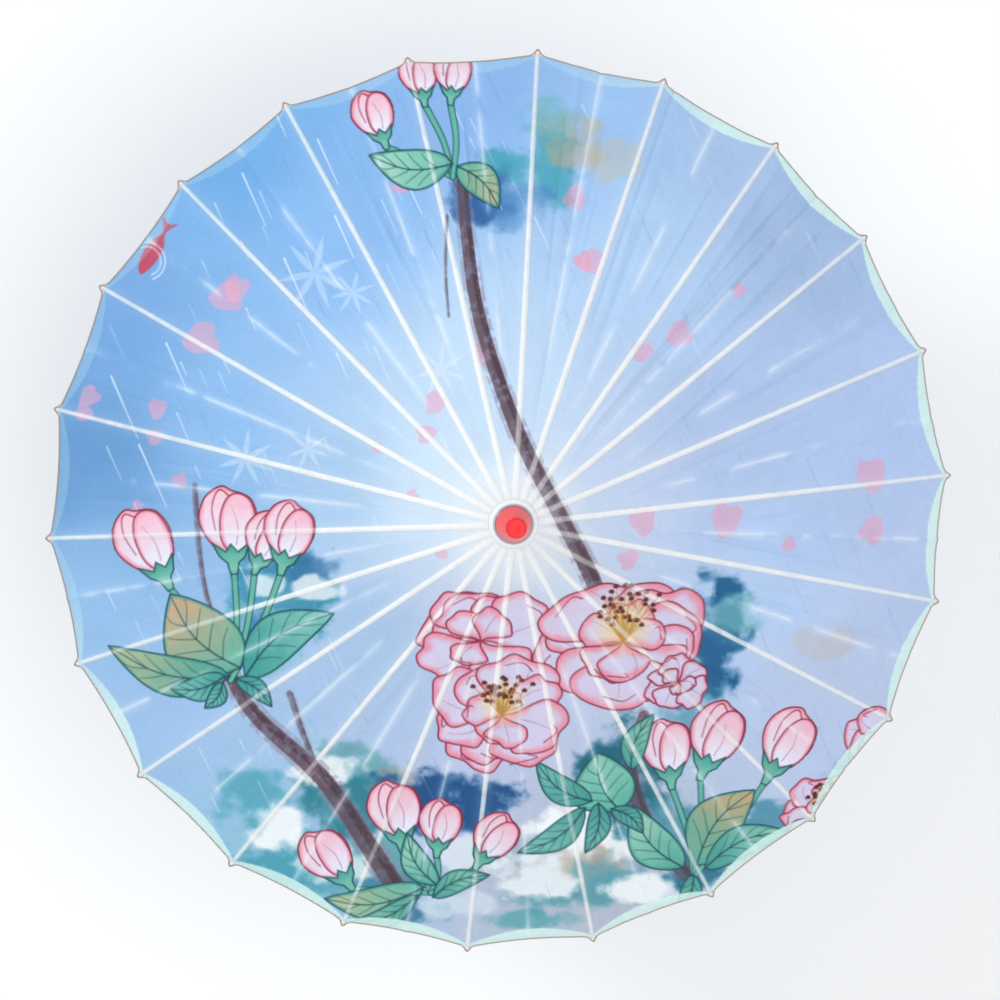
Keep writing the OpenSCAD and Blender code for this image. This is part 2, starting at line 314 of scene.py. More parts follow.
def near(xs, ys, margin):
    """Indices of the points inside a shape's box, with a margin in mm."""
    return np.nonzero((paint_x > min(xs) - margin) & (paint_x < max(xs) + margin)
                      & (paint_y > min(ys) - margin) & (paint_y < max(ys) + margin))[0]


def to_line(px, py, line, closed):
    """Distance of each point to a line of points, and how far along it that is, from 0 to 1."""
    best = np.full(len(px), 1e9)
    along = np.zeros(len(px))
    pairs = len(line) if closed else len(line) - 1
    for i in range(pairs):
        (ax, ay), (bx, by) = line[i], line[(i + 1) % len(line)]
        dx, dy = bx - ax, by - ay
        t = np.clip(((px - ax) * dx + (py - ay) * dy) / max(dx * dx + dy * dy, 1e-9), 0, 1)
        d = np.hypot(px - ax - t * dx, py - ay - t * dy)
        closer = d < best
        best[closer] = d[closer]
        along[closer] = (i + t[closer]) / pairs
    return best, along


def is_inside(px, py, outline):
    """True for the points that an outline holds."""
    inside = np.zeros(len(px), bool)
    for i in range(len(outline)):
        (ax, ay), (bx, by) = outline[i - 1], outline[i]
        crosses = (ay > py) != (by > py)
        inside ^= crosses & (px < (bx - ax) * (py - ay) / (by - ay + 1e-12) + ax)
    return inside


def fill(outline, near_colour, far_colour, base, tip, strength, line=None, line_w=1.3,
         blush=None, blush_w=7.0):
    """A closed shape, shaded from near_colour at base to far_colour at tip, blushed at its edge, inked."""
    xs, ys = [p[0] for p in outline], [p[1] for p in outline]
    where = near(xs, ys, 3)
    if not len(where):
        return
    px, py = paint_x[where], paint_y[where]
    d, _ = to_line(px, py, outline, True)
    signed = np.where(is_inside(px, py, outline), d, -d)
    axis = np.array(tip, float) - np.array(base, float)
    t = ((px - base[0]) * axis[0] + (py - base[1]) * axis[1]) / (axis @ axis)
    t = np.clip(t + 0.25 * (layered_noise(px / 9, py / 9, 5, 2) - 0.5), 0, 1)[:, None]
    colour = srgb(near_colour) * (1 - t) + srgb(far_colour) * t
    if blush:
        patchy = blush_w * (0.35 + 1.3 * layered_noise(px / 14, py / 14, 57, 2))
        edge = (1 - ramp(signed / patchy, 0.0, 1.0))[:, None]
        colour = colour * (1 - edge) + srgb(blush) * edge
    lay(where, colour, strength * np.clip(0.5 + signed / SOFT_EDGE, 0, 1))
    if line:
        lay(where, line, 0.9 * np.clip(0.5 + (line_w / 2 - d) / SOFT_EDGE, 0, 1))


def smooth_line(points, steps=8):
    """A smooth line through the given points."""
    p = [points[0], *points, points[-1]]
    out = []
    for i in range(1, len(p) - 2):
        for j in range(steps):
            t = j / steps
            a, b, c, d = (np.array(q, float) for q in p[i - 1:i + 3])
            bend, twist = 2 * a - 5 * b + 4 * c - d, 3 * b - a - 3 * c + d
            out.append(tuple(0.5 * (2 * b + (c - a) * t + bend * t * t + twist * t ** 3)))
    return [*out, tuple(map(float, p[-1]))]


def stroke(points, width, colour, strength, taper, dry=0.0):
    """A brush line that thins toward its end. dry leaves gaps, as a brush low on ink does."""
    line = smooth_line(points)
    where = near([p[0] for p in line], [p[1] for p in line], width + 2)
    if not len(where):
        return
    px, py = paint_x[where], paint_y[where]
    d, along = to_line(px, py, line, False)
    half = width / 2 * (1 - taper * along)
    ink = np.clip(0.5 + (half - d) / SOFT_EDGE, 0, 1)
    if dry:
        ink = ink * (1 - dry * ramp(layered_noise(px / 5, py / 5, 17, 3), 0.45, 0.7))
    lay(where, colour, strength * ink)


def local(x, y, angle, scale):
    """A function that takes a motif's own coordinates to its place on the cloth."""
    c, s = math.cos(math.radians(angle)), math.sin(math.radians(angle))
    return lambda u, v: (x + scale * (u * c - v * s), y + scale * (u * s + v * c))


print("canvas points:", len(paint_x))

# %% [markdown]
# ## The sky: washes of blue
# The ground of the picture is a rainy sky that goes from mid blue at one edge to an icy,
# slightly violet blue. Each wash is a soft pool of colour round a place on the cloth; a point
# takes the mean of all pools, weighted by how near they are.

# %% Sky
SKY = [
    (-235, 315, "#6ba8e0"), (-350, 160, "#6c9fd6"), (-370, 50, "#5f93c8"), (-160, 250, "#86b6ea"),
    (-250, 80, "#86b6e6"), (-150, 50, "#9fc3e8"), (-70, 30, "#d3e9fa"), (-30, 120, "#bfdcf8"),
    (90, 340, "#98c1ee"), (-13, 372, "#86b2e6"), (190, 340, "#a6c0e4"), (130, 230, "#b2d0f2"),
    (270, 240, "#9fb8dd"), (350, 90, "#b0c6ee"), (200, 60, "#adc4ea"), (100, 20, "#c2d3f2"),
    (360, -60, "#b4c7ea"), (240, -60, "#b3cff4"), (-360, -100, "#90bbe4"), (-330, -190, "#9dc0e6"),
    (-90, -180, "#a8c3e4"), (-120, -110, "#9fc0e4"), (-40, -240, "#c0c8e8"), (60, -330, "#b2bccb"),
    (-20, -100, "#c8c9e2"), (300, -140, "#bac8e6"), (-200, -330, "#8fc0dc"), (0, 0, "#e2f0fa"),
]
POOL = 62.0
weight_sum = np.zeros(len(paint_x))
for x, y, code in SKY:
    warp = 18 * (layered_noise(paint_x / 60, paint_y / 60, 31, 3) - 0.5)
    w = 1 / ((paint_x + warp - x) ** 2 + (paint_y - warp - y) ** 2 + POOL ** 2) ** 2
    paint += w[:, None] * srgb(code)
    weight_sum += w
paint /= weight_sum[:, None]
paint += 0.035 * (layered_noise(paint_x / 45, paint_y / 30, 41, 4) - 0.5)[:, None]
print("sky pools:", len(SKY))

# %% [markdown]
# ## Ink clouds
# Behind the flowers the dye has run into cloudy patches of teal, navy and sand, with pale gaps.
# Layered noise, cut off at a level and faded toward a patch's rim, gives their ragged edges.

# %% Clouds
RAG = 22.0


def cloud(x, y, wide, high, colour, strength, seed):
    """A ragged patch of dye, wide by high mm."""
    where = near([x - wide, x + wide], [y - high, y + high], 4)
    if not len(where):
        return
    px, py = paint_x[where], paint_y[where]
    torn = (1 + 0.9 * layered_noise(px / 17 - seed, py / 13, 140 + seed, 4)) / 1.3
    out = np.hypot((px - x) / wide, (py - y) / high) * torn
    n = layered_noise(px / RAG + seed, py / RAG - seed, 80 + seed, 5)
    lay(where, colour, 1.3 * strength * ramp(n - 0.42 * out, 0.0, 0.36) * (1 - ramp(out, 0.7, 1.0)))


CLOUDS = [
    (-20, 285, 44, 50, "#2f62a0", 0.75), (30, 305, 60, 52, "#3f9fb4", 0.62),
    (10, 270, 50, 30, "#4b86c0", 0.5), (60, 330, 42, 34, "#b8a98a", 0.42),
    (95, 312, 34, 26, "#c9b998", 0.28), (45, 350, 40, 24, "#6fb3b8", 0.5),
    (-200, -70, 66, 62, "#3c8fae", 0.8), (-180, -45, 40, 30, "#2f6f9e", 0.6),
    (-215, -110, 48, 46, "#6fb6c2", 0.6), (-140, -240, 70, 44, "#5f9fa8", 0.65),
    (-100, -250, 60, 30, "#a89f98", 0.5), (-190, -320, 80, 44, "#4b9fb4", 0.75),
    (-60, -262, 88, 42, "#174f86", 0.85), (-120, -330, 70, 50, "#4f9da6", 0.6),
    (-150, -260, 60, 50, "#2b7f92", 0.75), (55, -325, 80, 48, "#7f97a6", 0.6),
    (70, -352, 90, 30, "#4f99a4", 0.65), (66, -318, 54, 34, "#b5a797", 0.6),
    (85, -300, 60, 36, "#eef3f7", 0.7), (182, -118, 58, 80, "#17608f", 0.85),
    (160, -185, 50, 46, "#4a93a8", 0.55), (205, -95, 34, 34, "#7dbcc4", 0.5),
    (110, -240, 66, 66, "#176079", 0.75), (165, -290, 80, 44, "#35889c", 0.6),
    (230, -300, 60, 40, "#2f7f9a", 0.55), (388, -160, 18, 34, "#4f9db4", 0.5),
    (330, -255, 44, 40, "#2f6fa0", 0.65), (292, -122, 44, 22, "#c6ab8a", 0.2),
    (150, -345, 50, 26, "#d7e2ea", 0.7), (215, -345, 60, 22, "#c8c2b4", 0.5),
    (-232, -262, 50, 40, "#4b9fb4", 0.6), (-200, -290, 44, 30, "#f1f7fa", 0.75),
    (-160, -232, 40, 22, "#eef4f6", 0.7), (-150, -322, 50, 26, "#e4f0f4", 0.6),
    (-100, -346, 50, 24, "#2f7f9c", 0.6), (-30, -312, 40, 26, "#dfeaf0", 0.6),
    (-95, -372, 60, 18, "#1f6488", 0.6), (-40, -362, 50, 22, "#cfdfec", 0.6),
    (30, -380, 60, 14, "#4b9fa8", 0.55), (58, -285, 56, 34, "#f3f8fa", 0.85),
    (30, -334, 56, 32, "#e2ebf1", 0.85), (70, -322, 40, 26, "#b3a595", 0.55),
    (100, -330, 50, 30, "#5b9fae", 0.6), (120, -352, 46, 20, "#eef3f6", 0.75),
    (172, -330, 44, 34, "#26708f", 0.8), (140, -200, 30, 26, "#dfeaf0", 0.5),
    (-212, -58, 26, 18, "#e9f3f6", 0.6), (-168, -62, 30, 16, "#f0f5f8", 0.6),
    (-205, -100, 40, 20, "#1f5f98", 0.6),
]
for i, patch in enumerate(CLOUDS):
    cloud(*patch, seed=i)
print("clouds:", len(CLOUDS))

# %% [markdown]
# ## Rain, bamboo leaves and drifting petals
# Fine white streaks slant across the sky, thickest on the blue side. A few pale sprays of bamboo
# leaves and loose pink petals are printed faintly under them. Their places are drawn from a
# seeded generator, except for the petals that balance the picture, which are listed.

# %% Rain
rng = np.random.default_rng(20)
RAIN_SLANT = math.radians(-66)


def streak(x, y, long, strength, width=1.1, colour="#f6fbff"):
    """One drop's path."""
    dx, dy = math.cos(RAIN_SLANT) * long, math.sin(RAIN_SLANT) * long
    stroke([(x, y), (x + dx / 2, y + dy / 2), (x + dx, y + dy)], width, colour, strength, taper=0.7)


for _ in range(150):
    turn, reach = rng.uniform(0, 2 * math.pi), 395 * math.sqrt(rng.uniform(0.02, 1))
    x, y = reach * math.cos(turn), reach * math.sin(turn)
    blue_side = 0.35 + 0.65 * ramp(np.array(-x + 0.8 * y), -200, 250)
    if rng.random() < blue_side:
        streak(x, y, rng.uniform(10, 34), rng.uniform(0.25, 0.75) * float(blue_side))
for x, y, long in ((-232, 300, 52), (-150, 262, 40), (-300, 150, 46), (-120, 372, 50), (-195, 225, 60),
                   (-205, 360, 30), (-325, 60, 60), (-165, 330, 44), (-350, 120, 60), (-90, 300, 40)):
    streak(x, y, long, 0.85, 1.3)
for _ in range(90):
    turn, reach = rng.uniform(0, 2 * math.pi), 390 * math.sqrt(rng.uniform(0.1, 1))
    x, y = reach * math.cos(turn), reach * math.sin(turn)
    streak(x, y, rng.uniform(12, 40), rng.uniform(0.12, 0.3), 0.9, "#5b7ba6")

# %% Bamboo sprays and petals


def blade(x, y, long, wide, angle, colour, strength):
    """A slender pointed leaf."""
    at = local(x, y, angle, 1)
    outline = [at(long * t, wide / 2 * math.sin(math.pi * t ** 0.75)) for t in np.linspace(0, 1, 9)]
    outline += [at(long * t, -wide / 2 * math.sin(math.pi * t ** 0.75))
                for t in np.linspace(0.9, 0.1, 8)]
    fill(outline, colour, colour, at(0, 0), at(long, 0), strength)


SPRAYS = [
    (-168, 212, 1.0), (-135, 195, 0.6), (-300, 350, 0.8), (-60, 130, 0.7), (-230, 50, 0.8), (-175, 60, 0.6),
]
for x, y, size in SPRAYS:
    for angle in (20, 75, 130, 190, 235, 290, 330):
        blade(x, y, 34 * size, 6 * size, angle + x % 17, "#f1f8fe", 0.30)


PETAL_NOTCH = 0.16


def petal_outline(at):
    """A broad petal from (0, 0) to about (1, 0), with a notched end."""
    outline = []
    for t in np.linspace(-1, 1, 25):
        angle = t * math.pi * 0.9
        r = 0.5 - PETAL_NOTCH * math.exp(-((t / 0.14) ** 2)) + 0.03 * math.sin(5 * angle)
        half = r * (0.62 + 0.2 * math.cos(angle)) * math.sin(angle) * 1.25
        outline.append(at(0.5 + r * math.cos(angle), half))
    return [*outline, at(0, 0)]


PETALS = [
    (-262, 188, 24, 10), (-242, 186, 20, 70), (-285, 148, 26, 20), (-378, 95, 16, 40),
    (-366, 84, 14, 160), (-310, 82, 15, 80), (-302, 70, 13, 200), (-284, 22, 12, 120), (-70, 92, 16, 60),
    (-64, 78, 14, 200), (-26, 132, 16, 80), (66, 290, 18, 250), (60, 222, 20, 0), (72, 214, 14, 120),
    (140, 152, 20, 30), (128, 146, 16, 190), (336, 12, 26, 100), (342, -8, 22, 240), (190, -22, 26, 80),
    (118, -16, 22, 100), (112, -30, 16, 210), (246, -34, 12, 30), (-76, 300, 22, 200), (-90, 18, 9, 40),
    (-55, -30, 9, 150), (205, 190, 11, 60), (-120, 60, 8, 20), (-330, 0, 9, 60),
]
for x, y, size, angle in PETALS:
    at = local(x, y, angle, 1.35 * size)
    fill(petal_outline(at), "#eea5bf", "#e79ab8", at(0, 0), at(1, 0), 0.55)
print("petals:", len(PETALS))

# %% [markdown]
# ## Branches, leaves and buds
# The drawing is in ink line over flat colour, as on the real print: dark teal lines on the
# leaves, thin crimson ones on the petals. Each motif is a function of its place, size and
# direction, so a bough is a few calls.

# %% Leaves and branches
sky_dye = paint.copy()
LEAF_INK = "#174650"
LEAF_BEND = 0.12
STEM_WIDTH = 5.0
PETAL_INK = "#7a1f38"


def leaf(x, y, long, wide, angle, near_colour, far_colour):
    """A broad veined leaf from its stalk at (x, y)."""
    at = local(x, y, angle, 1)

    def spine(t):
        return LEAF_BEND * long * math.sin(math.pi * t)

    def half(t):
        return wide / 2 * math.sin(math.pi * t ** 0.8) ** 0.85

    ts = np.linspace(0, 1, 15)
    outline = [at(long * t, spine(t) + half(t)) for t in ts]
    outline += [at(long * t, spine(t) - half(t)) for t in ts[-2:0:-1]]
    fill(outline, near_colour, far_colour, at(0, 0), at(long, 0), 0.96, LEAF_INK, 1.4, "#3f978f", 3.5)
    stroke([at(long * t, spine(t)) for t in (0, 0.3, 0.6, 0.97)], 1.9, LEAF_INK, 0.85, 0.5)
    for t in (0.18, 0.34, 0.5, 0.66):
        for side in (1, -1):
            end = min(t + 0.2, 0.95)
            vein = [(long * t, spine(t)), (long * (t + 0.12), spine(t + 0.1) + side * 0.42 * half(t + 0.1)),
                    (long * end, spine(end) + side * 0.8 * half(end))]
            stroke([at(*q) for q in vein], 1.2, LEAF_INK, 0.6, 0.4)


def stem(points):
    """A soft green stalk with an inked side."""
    stroke(points, STEM_WIDTH + 1.4, LEAF_INK, 0.85, 0.15)
    stroke(points, STEM_WIDTH - 0.8, "#5fb3a2", 1.0, 0.15)


def branch(points, width, strength=0.9):
    """A dry brush stroke in brown ink, darker along its middle."""
    stroke(points, width * 1.5, "#8f8298", strength * 0.55, 0.3, dry=0.95)
    stroke(points, width, "#5f4a58", strength, 0.35, dry=0.22)
    stroke([(x + width * 0.2, y) for x, y in points], width * 0.4, "#42303c", strength * 0.8, 0.35, dry=0.5)


BUD_WIDTH = 1.16


def bud(x, y, tall, angle, open_share=0.5):
    """A closed flower: wrapped petals over a green cup. angle points from the cup to the tip."""
    upright = local(x, y, angle, tall * 1.08)

    def at(u, v):
        return upright(u, v * BUD_WIDTH)

    def traced(*points):
        return [at(*q) for q in points]

    blush = "#ea8fa6"
    back = traced((-0.40, 0.05), (-0.20, 0.26), (0.10, 0.37), (0.36, 0.31), (0.50, 0.20), (0.57, 0.05),
                  (0.50, -0.06), (0.44, -0.20), (0.34, -0.30), (0.08, -0.34), (-0.22, -0.24), (-0.40, -0.05))
    fill(smooth_line([*back, back[0]], 5), "#e2e4f6", "#f2c3d2", at(-0.3, 0), at(0.5, 0), 1.0, PETAL_INK,
         1.3, blush, 4.5)
    front = traced((-0.42, 0), (-0.28, -0.22), (0.02, -0.34 + 0.03 * open_share), (0.32, -0.29),
                   (0.45, -0.16), (0.42, -0.02), (0.24, 0.08), (0.02, 0.12), (-0.22, 0.11))
    fill(smooth_line([*front, front[0]], 5), "#e6e9f9", "#f0b4c6", at(-0.25, -0.1), at(0.45, -0.1), 1.0,
         PETAL_INK, 1.3, blush, 4.0)
    inner = traced((0.43, -0.02), (0.52, 0.07), (0.44, 0.15), (0.24, 0.20), (-0.04, 0.18))
    stroke(inner, 1.5, PETAL_INK, 0.8, 0.4)
    stroke(traced((-0.26, -0.06), (0.0, -0.10), (0.26, -0.05)), 1.0, PETAL_INK, 0.45, 0.7)
    cup = traced((-0.68, 0.04), (-0.52, 0.07), (-0.42, 0.16), (-0.22, 0.24), (-0.36, 0.08), (-0.25, 0.01),
                 (-0.37, -0.07), (-0.24, -0.22), (-0.44, -0.15), (-0.52, -0.07), (-0.68, -0.04))
    fill(cup, "#6fbca8", "#3f978f", at(-0.52, 0), at(-0.25, 0), 1.0, LEAF_INK, 1.3)
    return at(-0.64, 0)


branch([(88, -96), (70, -50), (42, 4), (6, 76), (-24, 168), (-34, 235), (-38, 292)], 15)
branch([(-52, 262), (-54, 215), (-52, 175)], 3.0, 0.5)
branch([(-92, -356), (-125, -300), (-165, -238), (-220, -185), (-244, -148)], 19)
branch([(-275, 25), (-268, -60), (-250, -120)], 5.0, 0.55)
branch([(-192, -160), (-178, -205), (-160, -245)], 6.0, 0.6)
branch([(168, -338), (132, -290), (112, -230), (122, -180)], 15, 0.75)
print("branches inked")

# %% Boughs of buds and leaves


def bough(foot, buds, leaves):
    """Buds on stalks that meet at a foot, with leaves round it. The buds lie over their stalks."""
    cups = [bud(*b) for b in buds]
    for cx, cy in cups:
        stem([(cx, cy), ((cx + foot[0]) / 2 + 4, (cy + foot[1]) / 2), foot])
    for b in buds:
        bud(*b)
    for one in leaves:
        leaf(*one)


bough((-46, 296), [(-114, 350, 42, 110), (-74, 386, 38, 100), (-44, 388, 38, 84)],
      [(-46, 308, 74, 36, 174, "#62b7a4", "#a9d8c2"), (-42, 306, 52, 30, -46, "#5fb59c", "#cdb88e")])
bough((-245, -150),
      [(-318, -30, 60, 118, 0.9), (-244, -10, 58, 95), (-212, -22, 44, 70), (-192, -16, 50, 78)],
      [(-236, -138, 90, 70, 134, "#5fb39e", "#d0a680"), (-246, -146, 112, 38, 168, "#3f9e94", "#b9bd92"),
       (-232, -146, 100, 42, 38, "#35958f", "#86c6ba"), (-240, -148, 40, 18, -38, "#2f8f92", "#74bcb6"),
       (-250, -146, 52, 24, 196, "#3a9a94", "#86c6ba"), (-252, -152, 30, 16, 236, "#3a9a94", "#86c6ba")])
bough((-66, -352),
      [(-158, -318, 52, 125, 0.8), (-98, -272, 54, 100), (-58, -284, 44, 84), (-10, -298, 46, 60)],
      [(-72, -346, 92, 36, 188, "#62b7a4", "#b9c196"), (-60, -344, 60, 26, 118, "#55ab9a", "#a9d8c2"),
       (-64, -356, 56, 22, 24, "#479e90", "#96cdb9"), (-78, -354, 70, 20, 205, "#479e90", "#96cdb9")])
bough((176, -342), [(146, -216, 52, 98, 0.7), (190, -206, 58, 72), (258, -216, 58, 62)],
      [(178, -330, 88, 54, 54, "#55ae9c", "#d0a878"), (166, -332, 82, 40, 128, "#50a999", "#a9d8c2"),
       (186, -334, 84, 32, 22, "#3f9a92", "#96cdb9"), (176, -340, 40, 20, 250, "#3f9a92", "#96cdb9")])
bough((78, -262), [],
      [(104, -272, 62, 58, 112, "#5db5a2", "#8fcdb8"), (78, -262, 66, 26, 142, "#35958f", "#74bcae"),
       (72, -268, 74, 26, 216, "#3d9790", "#86c6ba"), (84, -264, 50, 22, 258, "#368f90", "#74bcae"),
       (112, -232, 56, 24, 70, "#46a096", "#96cdb9"), (96, -270, 40, 18, 320, "#368f90", "#74bcae")])
print("boughs painted")

# %% [markdown]
# ## The open blossoms
# Three full blossoms are the middle of the picture, with a small one beside them and two more at
# the edge. Ruffled petals lie in two rings, outer ones first, each a wavy outline filled with a
# pale, cool colour and blushed at its edge, and the stamens are brown dots on yellow threads.

# %% Blossoms


def ruffled(at, seed, wide):
    """A petal from (0, 0) to about (1, 0) whose outer edge is uneven, never twice the same."""
    own = np.random.default_rng(seed)
    bumps = own.uniform(-0.10, 0.10, 9)
    bumps[own.integers(2, 7)] -= 0.12
    skew = own.uniform(-0.14, 0.14)
    outline = [(0.0, 0.0), (0.16, -0.12 * wide - 0.06)]
    for i, bump in enumerate(bumps):
        angle = (i / 8 * 2 - 1) * 1.75
        r = 1 + bump
        outline.append((0.50 + 0.46 * r * math.cos(angle),
                        wide * r * math.sin(angle) + skew * math.cos(angle)))
    outline.append((0.16, 0.12 * wide + 0.06))
    return [at(*q) for q in smooth_line([*outline, outline[0]], 5)]


PETAL_PALE, PETAL_FAR, PETAL_BLUSH = "#ccd4f1", "#dcc9e4", "#ef8aa2"
STAMENS = 34


def petal(at, seed, wide, blush_w):
    """One painted petal: pale and cool inside, pink toward its edge, with a fold or two drawn in."""
    fill(ruffled(at, seed, wide), PETAL_PALE, PETAL_FAR, at(0.1, 0), at(1.05, 0), 0.97, PETAL_INK, 1.4,
         PETAL_BLUSH, blush_w)
    own = np.random.default_rng(seed + 7)
    lean = own.uniform(-0.2, 0.2)
    stroke([at(0.30, lean), at(0.56, lean * 1.5), at(0.80, lean * 1.2)], 1.0, PETAL_INK, 0.4, 0.7)
    if own.random() < 0.6:
        fold = [at(0.78, -0.30 * wide - lean), at(0.86, 0.05), at(0.76, 0.36 * wide - lean)]
        stroke(fold, 1.3, PETAL_INK, 0.75, 0.4)


def blossom(x, y, size, angles, seed, heart=True, flat=0.82):
    """Petals pointing along angles, seen at a slant; size is a petal's length in mm."""
    own = np.random.default_rng(seed)

    def slanted(angle, scale):
        place = local(0, 0, angle, scale)
        return lambda u, v: (x + place(u, v)[0], y + flat * place(u, v)[1])

    for i, angle in enumerate(angles):
        at = slanted(angle, size * own.uniform(0.84, 1.08))
        petal(at, seed + i, own.uniform(0.40, 0.58), size * 0.12)
    for i, angle in enumerate(angles[1::2]):
        at = slanted(angle + own.uniform(-20, 20), size * own.uniform(0.46, 0.62))
        petal(at, seed + 40 + i, own.uniform(0.42, 0.55), size * 0.10)
    if not heart:
        return
    own = np.random.default_rng(seed + 90)
    where = near([x - size * 0.5, x + size * 0.5], [y - size * 0.3, y + size * 0.6], 2)
    from_heart = np.hypot(paint_x[where] - x, paint_y[where] - y - size * 0.18)
    lay(where, "#f3d9a0", 0.85 * (1 - ramp(from_heart, size * 0.05, size * 0.42)))
    for i in range(STAMENS):
        turn = math.radians(48 + 84 * i / (STAMENS - 1) + own.uniform(-8, 8))
        reach = size * own.uniform(0.20, 0.62)
        ex, ey = x + reach * math.cos(turn), y + reach * math.sin(turn)
        stroke([(x, y), ((x + ex) / 2, (y + ey) / 2 + 1), (ex, ey)], 1.0, "#b98a3c", 0.75, 0.2)
        stroke([(ex - 0.8, ey), (ex, ey + 0.6), (ex + 0.8, ey)], 3.4, "#5a1f1c", 1.0, 0.0)


blossom(-26, -106, 66, [172, 128, 100, 62, 28, 215, 300], 11, heart=False)
blossom(100, -110, 84, [195, 160, 128, 62, 34, 8, 338, 232, 298, 268], 23, flat=0.78)
blossom(-6, -176, 68, [232, 262, 190, 152, 118, 70, 28, 300, 335], 37, flat=0.84)
blossom(152, -150, 32, [200, 150, 100, 250, 30, 320], 51, heart=False)
blossom(356, -214, 46, [170, 215, 130, 250], 63, heart=False)
blossom(300, -288, 50, [150, 110, 195, 70, 230], 71)
print("blossoms painted")

# %% A small fish in the rain
fish = local(-322, 214, 59, 1.4)
body = [fish(*q) for q in ((0, 3), (10, 5.5), (20, 4), (28, 1), (36, 6), (34, 0), (37, -5), (28, -1),
                           (20, -4.5), (9, -5), (0, -2.5), (-2.5, 0))]
fill(smooth_line([*body, body[0]], 4), "#c2304a", "#b4586e", fish(0, 0), fish(34, 0), 0.9)
for reach in (13, 17):
    ring = [(-318 + reach * math.cos(a), 222 + reach * math.sin(a)) for a in np.linspace(-1.2, 1.9, 9)]
    stroke(ring, 1.2, "#f6fbff", 0.7, 0.3)
print("fish painted")

# %% [markdown]
# ## What the glue and the hem do to the print
# Over each rib the cloth is soaked with glue and lies tight on pale bamboo, so every rib shows
# as a bright line, and where the lines crowd together round the hub the cloth looks almost
# white. Along the edge the cloth is turned over the cord: its pale, minty back shows as a
# narrow hem, except on the blue side. Along the middle crease of each gore a pale line is
# painted as highlight, where the crease's ridge would catch the light.

# %% Glue lines and hem
drawn = np.abs(paint - sky_dye).max(1)
start = 0
for h in half_gores:
    count = h["u"].size
    where = np.arange(start, start + count)
    start += count
    u, s = h["u"].ravel(), h["s"].ravel()
    across, from_rib = across_gore(u, PIVOT_R + s * math.cos(SLOPE))
    along = s / RIB_LEN
    x, y = paint_x[where], paint_y[where]
    covered = ramp(drawn[where], 0.08, 0.35)
    patchy = (0.9 + 0.3 * (layered_noise(x / 7, y / 7, 90, 2) - 0.5)) * (1 - 0.52 * covered)
    width = 2.1 - 0.4 * ramp(along, 0.3, 1.0)
    faint_outside = ramp(along, 0.2, 1.0)
    glue = (1.0 - 0.26 * faint_outside) * patchy
    lay(where, "#ffffff", glue * (1 - ramp(from_rib, width - 0.5, width + 0.8)))
    lay(where, "#f2f8fd", 0.42 * patchy * np.exp(-from_rib / 4.2) * (1 - 0.45 * faint_outside))
    lay(where, "#f4fafe", 0.5 * (1 - ramp(along, 0.02, 0.14)) * (1 - 0.7 * covered))
    # Painted highlight: a pale, broken line along each gore's middle crease, where its ridge would catch the
    # light.
    crease_highlight = ramp(layered_noise(x / 30 + 9, y / 30, 93, 3), 0.36, 0.6)
    lay(where, "#f3f8fd", 0.62 * crease_highlight * np.exp(-np.abs(across + 1.5) / 2.1) * ramp(along, 0.15, 0.4))
    blue_side = ramp(-x + y, 120, 330)
    hem = hem_share(u, s)
    lay(where, "#d6f2ec", hem * (0.86 - 0.66 * blue_side))
    lay(where, "#8fc4c0", 0.35 * hem * (1 - hem) * 4 * (1 - 0.6 * blue_side))
paint = np.clip(paint, 0, 1)
print("mean colour:", [round(float(v), 2) for v in paint.mean(0)])

# %% [markdown]
# ## Helpers for finishes
# Every finish is named for its real material. Colours are written as hex sRGB and made linear by
# one function. One small function adds a node with its settings and its links, so a material
# reads from top to bottom as the light meets it.

# %% Material helpers


def hex_rgba(code):
    """A hex colour for a shader socket."""
    return (*[float(v) for v in linear(code)], 1.0)


def new_material(name):
    """An empty material with its shader and output; returns the material and the shader."""
    material = bpy.data.materials.new(name)
    material.use_nodes = True
    return material, material.node_tree.nodes["Principled BSDF"]


def add_node(material, kind, settings=None, inputs=None, links=None):
    """Adds a node. inputs are fixed values by socket; links feed a socket from (node, output)."""
    node = material.node_tree.nodes.new(kind)
    for key, value in (settings or {}).items():
        setattr(node, key, value)
    for key, value in (inputs or {}).items():
        node.inputs[key].default_value = value
    for key, (source, output) in (links or {}).items():
        material.node_tree.links.new(source.outputs[output], node.inputs[key])
    return node


def join(material, source, output, target, socket):
    """One link between two nodes."""
    material.node_tree.links.new(source.outputs[output], target.inputs[socket])


def set_sockets(shader, **values):
    """Fixed values on the shader's own sockets, named with _ for a space."""
    for key, value in values.items():
        shader.inputs[key.replace("_", " ")].default_value = value


def own_place(material):
    """The node that gives each point's place on its object."""
    return add_node(material, "ShaderNodeTexCoord"), "Object"


def noise(material, place, size_mm, detail, **more):
    """Noise about size_mm wide, read at a place, which is a (node, output) pair."""
    return add_node(material, "ShaderNodeTexNoise", links={"Vector": place},
                    inputs={"Scale": 1 / (size_mm * MM), "Detail": detail, **more})


def stretched(material, place, stretch):
    """The same place, drawn out along the axes that stretch shortens."""
    drawn_out = add_node(material, "ShaderNodeMapping", inputs={"Scale": stretch}, links={"Vector": place})
    return drawn_out, "Vector"


def coloured(material, shader, value, steps):
    """The base colour follows a (node, output) value through (place, hex colour) steps."""
    tone = add_node(material, "ShaderNodeValToRGB", links={"Fac": value})
    elements = tone.color_ramp.elements
    while len(elements) < len(steps):
        elements.new(0.5)
    for element, (place, code) in zip(elements, steps):
        element.position, element.color = place, hex_rgba(code)
    join(material, tone, "Color", shader, "Base Color")


def embossed(material, shader, height, strength, depth_mm):
    """Bump that follows a (node, output) height."""
    relief = add_node(material, "ShaderNodeBump", inputs={"Strength": strength, "Distance": depth_mm * MM},
                      links={"Height": height})
    join(material, relief, "Normal", shader, "Normal")


